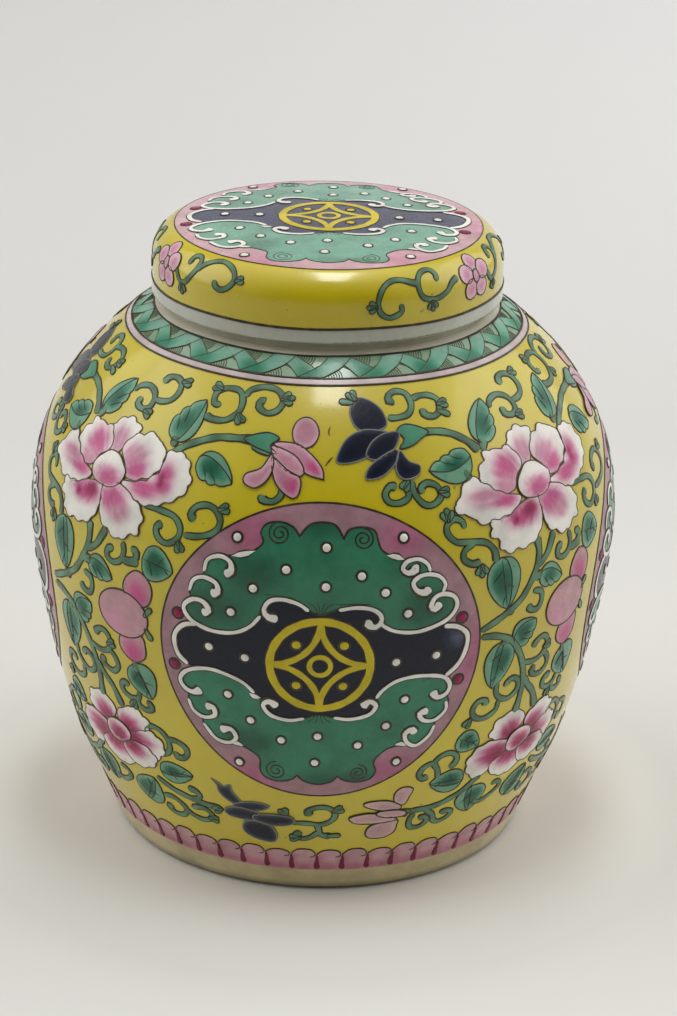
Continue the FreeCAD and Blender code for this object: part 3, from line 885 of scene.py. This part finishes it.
def medallion(brush, ground=GROUND_PINK, green=GREEN, navy=NAVY, fine=1.0, depth=1.0):
    """A round panel: pink ground, two green fields with curled white edges and a dark band between.
    fine scales the spacing of its triangles, depth the strength of its shading."""
    rose = np.array(ground) * (1 - 0.45 * depth) + np.array(ROSE) * 0.45 * depth
    blush = blotted(ground, (-13, 152, 5, 8, rose), (15, 151, 5, 7, rose), (15, 60, 6, 7, rose),
                    (-13, 57, 6, 6, rose), (29.5, 104, 2.5, 14, rose))
    brush.patch(brush.around(MED_X, MED_Y, circle(MED_R, 7.5)), blush, 0.16, 0.75, spacing=3.2 * fine)
    # Painted sheen: a lighter slate patch at the right end of the dark band.
    brush.patch(NAVY_FIELD, blotted(navy, (26.5, 113, 2.4, 4, SHEEN_SLATE)), 0.23, 0.6, spacing=3 * fine)
    deep, soft = (np.array(green) * (1 - share * depth) for share in (0.28, 0.1))
    cloudy = blotted(green, (-20, 124, 6, 8, deep), (20, 126, 5, 8, deep), (-12, 138, 5, 7, deep),
                     (0, 157, 7, 5, deep), (-14, 72, 5, 6, deep), (4, 56, 8, 4, deep), (0, 118, 12, 14, soft))
    for field in (UPPER_FIELD, LOWER_FIELD):
        brush.patch(field, cloudy, 0.3, 0.7, spacing=2.4 * fine)
    for edge in WHITE_EDGES:
        brush.ribbon(edge, 1.8, WHITE, 0.52, 0.6)
    for curl in WHITE_CURLS:
        brush.ribbon(curl, 2.15, WHITE, 0.6, 0.6, "comma")
    for drop in TEARDROPS:
        brush.ribbon(drop, 1.9, WHITE, 0.52, pen="point")
    for row in HUMP_SPIRALS:
        hump_spiral(brush, *row)
    for x, y in WHITE_DOTS:
        brush.dome(x, y, 1.6, WHITE, 0.75, 0.55)
    for x, y in GEMS:
        brush.dome(x, y, 1.9, CRIMSON, 0.55, 0.55)
    roundel(brush)
    lashes(brush)


# ---------------------------------------------------------------- bands that go right round

# Where the jar's bands begin and end, in mm along its outline from the foot up.
FOOT_TOP = 9.2
BORDER_TOP = 16.5
COLLAR_LINES = (205.4, 208.1, 217.7)
PINK_LINE = 206.7
COLLAR = (208.5, 217.3)
COLLAR_REPEATS = 21
SCALLOPS = 56


def ring(enamel, canvas, along, width, lift, colour):
    """One closed line or band right round, very slightly wavy."""
    path = [(turn, along + 0.15 * math.sin(math.radians(turn * 7))) for turn in range(0, 360, 2)]
    stroke(enamel, canvas, path, width, lift, colour, closed=True, raw=True)


def hatching(brush, centre, base, way):
    """Fine concentric arcs standing on one edge of the collar; way is 1 for upwards, -1 for downwards."""
    half_turn = [math.radians(t) for t in range(0, 181, 20)]
    for radius in (1.2, 2.1, 3.0, 3.9, 4.8, 5.7):
        arc = [(radius * math.cos(t), way * radius * 0.95 * math.sin(t)) for t in half_turn]
        brush.line(brush.around(centre, base, arc), 0.36, 0.13, "round", (74, 70, 42))


def wave_band(brush):
    """The green collar: bands that slant left and right in turn, dark at the foot and pale at the
    head, over hatched triangles."""
    half = 180 / COLLAR_REPEATS
    reach, bow = half * 0.41, half * 0.14
    low, high = COLLAR
    for k in range(COLLAR_REPEATS):
        hatching(brush, half * 2 * k, low, 1)
        hatching(brush, half * (2 * k + 1), high, -1)
    for k in range(COLLAR_REPEATS * 2):
        ends = (half * (k + 0.5), half * (k + 1.5))
        foot, head = ends if k % 2 else reversed(ends)
        middle = ((foot + head) / 2 + bow, (low + high) / 2)
        left = [(foot - reach, low)] * 2 + [(middle[0] - reach, middle[1])] + [(head - reach, high)] * 2
        right = [(head + reach, high)] * 2 + [(middle[0] + reach, middle[1])] + [(foot + reach, low)] * 2
        jade = blotted((122, 176, 150), (foot, low + 1, half * 0.5, 4.5, (40, 124, 92)),
                       (head, high, half * 0.4, 3, (150, 186, 166)))
        brush.patch(left + right, jade, 0.24 + 0.06 * (k % 2), 0.32, spacing=1.6, line_colour=(76, 80, 54))


def foot_border(brush):
    """Pink scallops just above the bare foot, each with a curled ink line along its top and an
    upright crimson stroke where it meets the next."""
    pitch = 360 / SCALLOPS
    flush = (188, 116, 136)
    for k in range(SCALLOPS):
        left, right = pitch * k, pitch * (k + 1)
        top = 19.4 + 0.5 * math.sin(k * 2.3)
        hump = [(left, 9), (left, 9), (left, 13), (left + 0.1, 17.3), (left + 1.6, top - 0.1),
                (left + 3.4, top + 0.4), (left + 5.2, top - 0.1), (right, 17.3), (right, 13), (right, 9),
                (right, 9)]
        shade = blotted((204, 158, 164), (left + 3, 10.5, 4, 2.2, flush), (left + 0.4, 14, 1.4, 4, flush))
        brush.patch(hump, shade, 0.16 + 0.05 * (k % 2), 0, spacing=2.2)
        curl = [(left + 0.1, 17.3), (left + 1.6, top), (left + 3.4, top + 0.5), (left + 5.2, top),
                (left + 6.2, 17.6), (left + 5.7, 16.2), (left + 4.8, 16)]
        brush.line(curl, 0.42, 0.36, "round")
        drop = [(left + 0.3, 9.6), (left + 0.1, 12), (left + 0.2, 14.6), (left + 0.1, 17)]
        stroke(brush.paint, brush.canvas, drop, 2.4, 0.5, (118, 24, 58), "drop")


# ---------------------------------------------------------------- the lid

LID_SCROLLS = [   # degrees from the blossom's middle, mm up from the rim
    [(-32, 12.4), (-31.4, 10), (-33.4, 8.4), (-36, 8), (-38.4, 9.6), (-39.4, 12.6), (-38.8, 16),
     (-37, 19), (-34, 20.8), (-30.5, 20.6), (-27, 19.2), (-25, 18.8)],
    [(-18.2, 18.4), (-17.7, 20.4), (-18.7, 22.5), (-20.7, 23.2), (-23.2, 22.3), (-25, 19.8),
     (-25.2, 16.5), (-24, 13.8), (-21.5, 12.6), (-18, 12.5), (-14.5, 14), (-12, 16.6), (-9, 18)],
    [(7, 16.5), (8, 14.7), (10, 12.3), (12.6, 12.9), (15, 15.4), (17, 18.7), (17.2, 21.8), (15.6, 23.4),
     (13.4, 22.8), (12.6, 20.6), (13.2, 19.5)],
    [(17.2, 18.2), (20, 21.5), (24.5, 24), (28.6, 23.6), (32, 21.3), (33.2, 18.2), (31.4, 15.4),
     (28.6, 14.1), (26.2, 15.2), (26.3, 16.9)],
]
LID_KNOBS = [   # from, towards, lobes
    (-39.6, 12, -43.4, 12, 3), (-20.4, 12, -20, 7, 3), (11, 12, 11.5, 7.4, 3), (33.6, 18, 38, 19.5, 2),
]


def blossom(brush, x, y):
    """A small pink flower with five round petals."""
    size = brush.canvas.mm_per_unit(y)
    for k in range(5):
        turn = math.radians(90 + 72 * k)
        middle_x, middle_y = brush.around(x, y, [(5.1 * math.cos(turn), 5.1 * math.sin(turn))])[0]
        petal = [(middle_x + px / size, middle_y + py) for px, py in turned(circle(3.7, 40, 3.4), turn)]
        blush = blotted((228, 196, 200), (middle_x, middle_y, 2.2 / size, 2.2, (212, 136, 168)))
        brush.patch(petal, blush, 0.2 + 0.05 * k, 0.55, spacing=1.5)
    brush.patch(brush.around(x, y, circle(1.7, 40, 2.3)), (214, 160, 174), 0.48, spacing=1.4)


def lid_band(brush):
    """Three pink blossoms, each between two pairs of vine scrolls, round the side of the lid."""
    for middle in (55.5, 175.5, 295.5):
        for path in LID_SCROLLS:
            tendril(brush, [(middle + x, y) for x, y in path], 1.6)
        for x, y, tip_x, tip_y, lobes in LID_KNOBS:
            knob(brush, middle + x, y, middle + tip_x, tip_y, lobes, 3.2)
        blossom(brush, middle, 16.2)


# ---------------------------------------------------------------- materials

class Nodes:
    """Short names for building one procedural material."""

    def __init__(self, name):
        self.material = bpy.data.materials.new(name)
        self.material.use_nodes = True
        self.tree = self.material.node_tree
        self.tree.nodes.clear()
        self.shader = self.new("BsdfPrincipled")
        out = self.new("OutputMaterial")
        self.tree.links.new(self.shader.outputs[0], out.inputs[0])
        self.where = self.new("TexCoord")

    def new(self, kind):
        return self.tree.nodes.new("ShaderNode" + kind)

    def put(self, socket, value):
        """Links an output to a socket, or sets the socket to a value; colours are sRGB, 0 to 255."""
        if isinstance(value, bpy.types.NodeSocket):
            self.tree.links.new(value, socket)
        elif isinstance(value, tuple) and socket.type == "RGBA":
            socket.default_value = (*linear(value), 1)
        else:
            socket.default_value = value

    def maths(self, kind, a, b=0.0):
        node = self.new("Math")
        node.operation = kind
        self.put(node.inputs[0], a)
        self.put(node.inputs[1], b)
        return node.outputs[0]

    def noise(self, scale, detail=4.0, rough=0.5, squash=(1, 1, 1)):
        placed = self.new("Mapping")
        placed.inputs["Scale"].default_value = squash
        self.put(placed.inputs["Vector"], self.where.outputs["Object"])
        node = self.new("TexNoise")
        self.put(node.inputs["Vector"], placed.outputs[0])
        node.inputs["Scale"].default_value = scale
        node.inputs["Detail"].default_value = detail
        node.inputs["Roughness"].default_value = rough
        return node.outputs["Fac"]

    def between(self, value, low, high):
        """0 below low, 1 above high."""
        node = self.new("MapRange")
        self.put(node.inputs["Value"], value)
        node.inputs["From Min"].default_value = low
        node.inputs["From Max"].default_value = high
        return node.outputs[0]

    def mix(self, share, a, b, blend="MIX"):
        node = self.new("Mix")
        node.data_type, node.blend_type = "RGBA", blend
        self.put(node.inputs["Factor"], share)
        self.put(node.inputs["A"], a)
        self.put(node.inputs["B"], b)
        return next(s for s in node.outputs if s.type == "RGBA")

    def axes(self):
        """The object's own X, Y and Z."""
        split = self.new("SeparateXYZ")
        self.put(split.inputs[0], self.where.outputs["Object"])
        return split.outputs

    def vector(self, kind, *values):
        node = self.new("VectorMath")
        node.operation = kind
        for socket, value in zip(node.inputs, values):
            self.put(socket, value)
        return node.outputs

    def outward(self):
        """How far the surface faces away from the axis: 1 outside, 0 flat, -1 inside."""
        flat = self.vector("MULTIPLY", self.where.outputs["Object"], (1, 1, 0))
        unit = self.vector("NORMALIZE", flat[0])
        return self.vector("DOT_PRODUCT", unit[0], self.where.outputs["Normal"])["Value"]

    def bump(self, height, strength, distance):
        node = self.new("Bump")
        node.inputs["Strength"].default_value = strength
        node.inputs["Distance"].default_value = distance
        self.put(node.inputs["Height"], height)
        return node.outputs[0]

    def finish(self, colour, rough, normal=None, coat=0.0, gloss=0.42):
        self.put(self.shader.inputs["Base Color"], colour)
        self.put(self.shader.inputs["Roughness"], rough)
        self.shader.inputs["Coat Weight"].default_value = coat
        self.shader.inputs["Coat Roughness"].default_value = 0.12
        self.shader.inputs["Specular IOR Level"].default_value = gloss
        if normal is not None:
            self.put(self.shader.inputs["Normal"], normal)
        return self.material


def varied(n, value, spread, *noise):
    """A value that noise raises by up to a spread."""
    return n.maths("ADD", value, n.maths("MULTIPLY", n.noise(*noise), spread))


def yellow_glaze(n):
    """Yellow enamel with cloudy patches, an olive cast where it lies thin, and fine dark specks."""
    cloud = n.between(n.noise(14, 3), 0.35, 0.7)
    base = n.mix(cloud, (198, 178, 10), (214, 196, 26))
    streak = n.between(n.noise(60, 4, 0.6, (1, 1, 0.35)), 0.4, 0.75)
    base = n.mix(n.maths("MULTIPLY", streak, 0.3), base, (184, 164, 14))
    speck = n.between(n.noise(420, 2), 0.74, 0.78)
    return n.mix(n.maths("MULTIPLY", speck, 0.6), base, (96, 78, 30))


def bare_clay(n, light, dark):
    """Unglazed or thinly glazed porcelain, a little dirty."""
    dirt = n.between(n.noise(55, 6, 0.65), 0.42, 0.72)
    return n.mix(n.maths("MULTIPLY", dirt, 0.7), light, dark)


def wavy_height(n, scale, spread):
    """The height on the axis, shifted by noise so that borders between colours aren't quite level."""
    up = n.axes()[2]
    return n.maths("ADD", up, n.maths("MULTIPLY", n.maths("SUBTRACT", n.noise(scale, 2), 0.5), spread))


def glaze_ripple(n):
    """Slow waves and a fine orange-peel in the glaze."""
    return n.bump(varied(n, n.noise(26, 2), 0.12, 900, 2), 0.35, 0.0008)


def jar_material(wall):
    """The jar's own surface: bare foot, yellow wall, green collar, cream ledge and neck made extra pale as
    painted light under the lid's shade, white inside.
    """
    n = Nodes("jar_glaze")
    up = wavy_height(n, 40, 0.0006)

    def above(along):
        z = float(wall.at(along)[1]) * MM
        return n.between(up, z - 0.00008, z + 0.00008)

    foot = bare_clay(n, (202, 188, 140), (144, 129, 88))
    foot = n.mix(n.between(up, 0.0, 0.004), (96, 84, 60), foot)
    colour = n.mix(above(FOOT_TOP), foot, (196, 146, 150))
    colour = n.mix(above(BORDER_TOP), colour, yellow_glaze(n))
    pink_edge, green_edge, ledge_edge = (along - 0.1 for along in COLLAR_LINES)   # just under each line
    colour = n.mix(above(pink_edge), colour, (206, 188, 180))
    jade = n.mix(n.between(n.noise(70, 3), 0.35, 0.7), (116, 150, 116), (142, 172, 138))
    colour = n.mix(above(green_edge), colour, jade)
    # Painted light: the cream ledge and neck are made extra pale so that the shade under the lid's edge looks
    # lighter.
    colour = n.mix(above(ledge_edge), colour, bare_clay(n, (255, 248, 228), (234, 222, 192)))
    outside = n.between(n.outward(), 0.1, 0.2)
    colour = n.mix(outside, bare_clay(n, (222, 222, 212), (196, 194, 180)), colour)
    glazed = n.maths("MULTIPLY", above(FOOT_TOP), n.maths("SUBTRACT", 1.0, above(ledge_edge)))
    rough = n.maths("SUBTRACT", 0.62, n.maths("MULTIPLY", glazed, 0.36))
    return n.finish(colour, varied(n, rough, 0.08, 90, 3), glaze_ripple(n), 0.8)


def lid_material(lid):
    """The lid's own surface: yellow above a bare white rim, white inside."""
    n = Nodes("lid_glaze")
    up = wavy_height(n, 60, 0.0012)
    rim = float(lid.at(4.2)[1]) * MM
    above_rim = n.between(up, rim - 0.0001, rim + 0.0001)
    white = bare_clay(n, (192, 193, 178), (164, 161, 140))
    colour = n.mix(above_rim, white, yellow_glaze(n))
    colour = n.mix(n.between(n.outward(), -0.2, -0.1), white, colour)
    return n.finish(colour, varied(n, 0.2, 0.12, 90, 3), glaze_ripple(n), 0.8)


def enamel_material():
    """Painted enamel: the stroke's own colour, pooled darker in places and washed thin in others."""
    n = Nodes("painted_enamel")
    paint = n.new("VertexColor")
    paint.layer_name = "Paint"
    pool = n.between(n.noise(95, 3, 0.55), 0.4, 0.7)
    colour = n.mix(n.maths("MULTIPLY", pool, 0.3), paint.outputs[0], (120, 128, 120), "MULTIPLY")
    wash = n.between(n.noise(170, 2, 0.5), 0.5, 0.8)
    colour = n.mix(n.maths("MULTIPLY", wash, 0.25), colour, (250, 246, 238), "SOFT_LIGHT")
    rough = varied(n, 0.2, 0.14, 110, 2)
    return n.finish(colour, rough, n.bump(n.noise(320, 3), 0.25, 0.0004), 0.15, 0.24)


def ink_material():
    """Brown-black outlines, thinner and browner here and there."""
    n = Nodes("ink_line")
    paint = n.new("VertexColor")
    paint.layer_name = "Paint"
    thin = n.between(n.noise(260, 3, 0.6), 0.45, 0.75)
    colour = n.mix(n.maths("MULTIPLY", thin, 0.4), paint.outputs[0], (118, 100, 62))
    return n.finish(colour, varied(n, 0.34, 0.2, 150, 2))


# ---------------------------------------------------------------- the stage

def stage_material():
    """Plain pale paper with painted light and shade: painted light round the jar's foot and at the back,
    painted shade just behind the jar, to the left and far in front.
    """
    n = Nodes("stage_paper")
    across, depth, _ = n.axes()
    colour = n.mix(n.between(n.noise(3, 2), 0.3, 0.7), (228, 225, 218), (231, 228, 222))
    # Painted shade: a greyer band just behind the jar, then painted light towards the back.
    colour = n.mix(n.between(depth, 0.0, 0.4), colour, (219, 217, 212))
    colour = n.mix(n.between(depth, 0.4, 1.3), colour, (250, 248, 246))
    # Painted shade: the paper turns greyer towards the left.
    shade = n.between(across, 0.4, -0.6)
    colour = n.mix(n.maths("MULTIPLY", shade, 0.6), colour, (206, 205, 200))
    # Painted light: a paler pool round the jar's foot that cancels its shadow on the floor.
    away = n.maths("SQRT", n.maths("ADD", n.maths("POWER", across, 2), n.maths("POWER", depth, 2)))
    colour = n.mix(n.between(away, 0.14, 0.08), colour, (252, 249, 240))
    # Painted shade far in front, which also keeps the light bounced onto the jar's front low.
    colour = n.mix(n.between(depth, -0.4, -1.4), colour, (150, 149, 146))
    return n.finish(colour, 0.85)


STAGE_HALF_WIDTH = 5.0      # metres
STAGE_PROFILE = [(-5.0, 0), (0.9, 0), (1.25, 0.05), (1.5, 0.22), (1.62, 0.5), (1.66, 1.0), (1.66, 2.6)]


def make_stage():
    """A pale sweep: a floor that curves up into a backdrop."""
    points = [(x, y, z) for y, z in STAGE_PROFILE for x in (-STAGE_HALF_WIDTH, STAGE_HALF_WIDTH)]
    faces = [(k, k + 1, k + 3, k + 2) for k in range(0, len(points) - 2, 2)]
    mesh = bpy.data.meshes.new("sweep")
    mesh.from_pydata(points, [], faces)
    mesh.polygons.foreach_set("use_smooth", [True] * len(faces))
    mesh.materials.append(stage_material())
    sweep = bpy.data.objects.new("sweep", mesh)
    bpy.context.scene.collection.objects.link(sweep)


def area_light(name, place, target, size, power):
    """A soft white lamp aimed at a target; size is its width and depth in metres."""
    lamp = bpy.data.lights.new(name, "AREA")
    lamp.shape, lamp.energy = "RECTANGLE", power
    lamp.size, lamp.size_y = size
    obj = bpy.data.objects.new(name, lamp)
    obj.location = place
    obj.rotation_euler = (Vector(target) - Vector(place)).to_track_quat("-Z", "Y").to_euler()
    bpy.context.scene.collection.objects.link(obj)


def make_lights():
    """A long narrow lamp overhead and a broad one on each side."""
    area_light("overhead", (0.05, 0.0, 1.7), (0, 0, 0.1), (1.0, 0.3), 8)
    area_light("side_right", (1.4, 0.5, 0.95), (0, 0.1, 0.1), (1.7, 1.4), 8)
    area_light("side_left", (-1.4, 0.3, 0.9), (0, 0.1, 0.1), (1.7, 1.4), 7)


def make_room():
    """Even light from behind and the sides that fades to almost none from the front."""
    world = bpy.data.worlds.new("room")
    world.use_nodes = True
    tree = world.node_tree
    place = tree.nodes.new("ShaderNodeTexCoord")
    split = tree.nodes.new("ShaderNodeSeparateXYZ")
    ramp = tree.nodes.new("ShaderNodeMapRange")
    for name, value in {"From Min": -0.85, "From Max": 0.05, "To Min": 0.03, "To Max": 1.08}.items():
        ramp.inputs[name].default_value = value
    tree.links.new(place.outputs["Generated"], split.inputs[0])
    tree.links.new(split.outputs["Y"], ramp.inputs["Value"])
    sky = tree.nodes["Background"]
    sky.inputs[0].default_value = (0.9, 0.91, 0.92, 1)
    tree.links.new(ramp.outputs[0], sky.inputs[1])
    bpy.context.scene.world = world


CAMERA_PLACE = (0, -1.0627, 0.5426)     # metres
CAMERA_YAW, CAMERA_DOWN, CAMERA_ROLL = -0.306, 21.776, 1.254    # degrees
CAMERA_LENS, CAMERA_FILM = 109.9, 36    # mm, the film along its long side


def make_camera():
    """The camera, a little above the lid and looking down at the jar."""
    data = bpy.data.cameras.new("camera")
    data.lens, data.sensor_width = CAMERA_LENS, CAMERA_FILM
    camera = bpy.data.objects.new("camera", data)
    turn = (Matrix.Rotation(math.radians(CAMERA_YAW), 4, "Z")
            @ Matrix.Rotation(math.radians(90 - CAMERA_DOWN), 4, "X")
            @ Matrix.Rotation(math.radians(CAMERA_ROLL), 4, "Z"))
    camera.matrix_world = Matrix.Translation(CAMERA_PLACE) @ turn
    bpy.context.scene.collection.objects.link(camera)
    bpy.context.scene.camera = camera


# ---------------------------------------------------------------- putting it together

SIDES = ["front", "right", "back", "left"]
CENTRES = [0, 94.5, 180, 265.5]          # where each medallion sits, degrees round from the front
CELL = 94.7                              # width of one repeat as drawn
WALL_UNIT, ROUND_UNIT = 1.7, 1.2         # mm per degree on the canvases of the wall and the bands
FRONT_SIZE, OTHER_SIZE = (1.0, MED_Y), (0.925, 108.0)    # a medallion's scale and the height of its middle
LID_TOP_R = 55.0                         # radius of the medallion on the lid, in mm


def wall_canvas(wall, cell):
    """One repeat, stretched or squeezed so that four go round."""
    knots = np.arange(-1, 6) * CELL
    turns = [CENTRES[3] - 360] + CENTRES + [360, 360 + CENTRES[1]]
    return Canvas(wall, lambda u, v: (np.interp(cell * CELL + u, knots, turns), v), WALL_UNIT)


def medallion_canvas(wall, cell):
    size, middle = OTHER_SIZE if cell else FRONT_SIZE
    return Canvas(wall, lambda u, v: (CENTRES[cell] + u * size, middle + (v - MED_Y) * size), MED_UNIT, True)


def round_canvas(outline):
    return Canvas(outline, lambda u, v: (u, v), ROUND_UNIT)


def lid_top_canvas(lid):
    """The lid's flat top, with the medallion's middle on the axis."""
    size = LID_TOP_R / MED_R

    def wrap(u, v):
        x, y = u * MED_UNIT * size, (v - MED_Y) * size
        return np.degrees(np.arctan2(x, -y)), lid.length[-1] - np.hypot(x, y)

    return Canvas(lid, wrap, MED_UNIT, True)


def paint_jar(wall, brush_for):
    for cell, side in enumerate(SIDES):
        spray(brush_for("spray_" + side, "jar", wall_canvas(wall, cell)))
        medallion(brush_for("medallion_" + side, "jar", medallion_canvas(wall, cell)))
    brush = brush_for("collar_band", "jar", round_canvas(wall))
    wave_band(brush)
    ring(brush.paint, brush.canvas, PINK_LINE, 2.2, 0.25, (208, 190, 188))
    for along in COLLAR_LINES:
        ring(brush.ink, brush.canvas, along, 0.6, 0.5, INK)
    foot_border(brush_for("foot_border", "jar", round_canvas(wall)))


def paint_lid(lid, brush_for):
    brush = brush_for("lid_band", "lid", round_canvas(lid), 0.85)
    lid_band(brush)
    ring(brush.ink, brush.canvas, 4.5, 0.9, 0.3, INK)
    # Painted reflection: the lid's medallion takes paler, greyer colours and weaker blots than the wall's,
    # standing for the sheen on the lid's glossy top.
    medallion(brush_for("lid_medallion", "lid", lid_top_canvas(lid), 0.6), ground=(212, 172, 176),
              green=(122, 170, 147), navy=(70, 72, 94), fine=0.65, depth=0.5)


def main():
    wall = Outline("jar_body", centre_height=105, low_deg=-53.76, high_deg=64.5)
    lid = Outline("lid", centre_height=208, low_deg=-4.0, high_deg=89.9)
    lid.close_at_axis()
    enamel, ink = enamel_material(), ink_material()
    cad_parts["jar_body"].data.materials[0] = jar_material(wall)
    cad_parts["lid"].data.materials[0] = lid_material(lid)
    pieces = []

    def brush_for(name, body, canvas, ink_share=1.0):
        colours = Enamel(name, body, enamel, "painted_enamel")
        lines = Enamel(name + "_lines", body, ink, "ink_line")
        pieces.extend([colours, lines])
        return Brush(canvas, colours, lines, ink_share)

    paint_jar(wall, brush_for)
    paint_lid(lid, brush_for)
    for piece in pieces:
        piece.build()
    make_stage()
    make_lights()
    make_room()
    make_camera()
    bpy.context.scene.view_settings.view_transform = "Standard"


main()
bpy.context.view_layer.update()
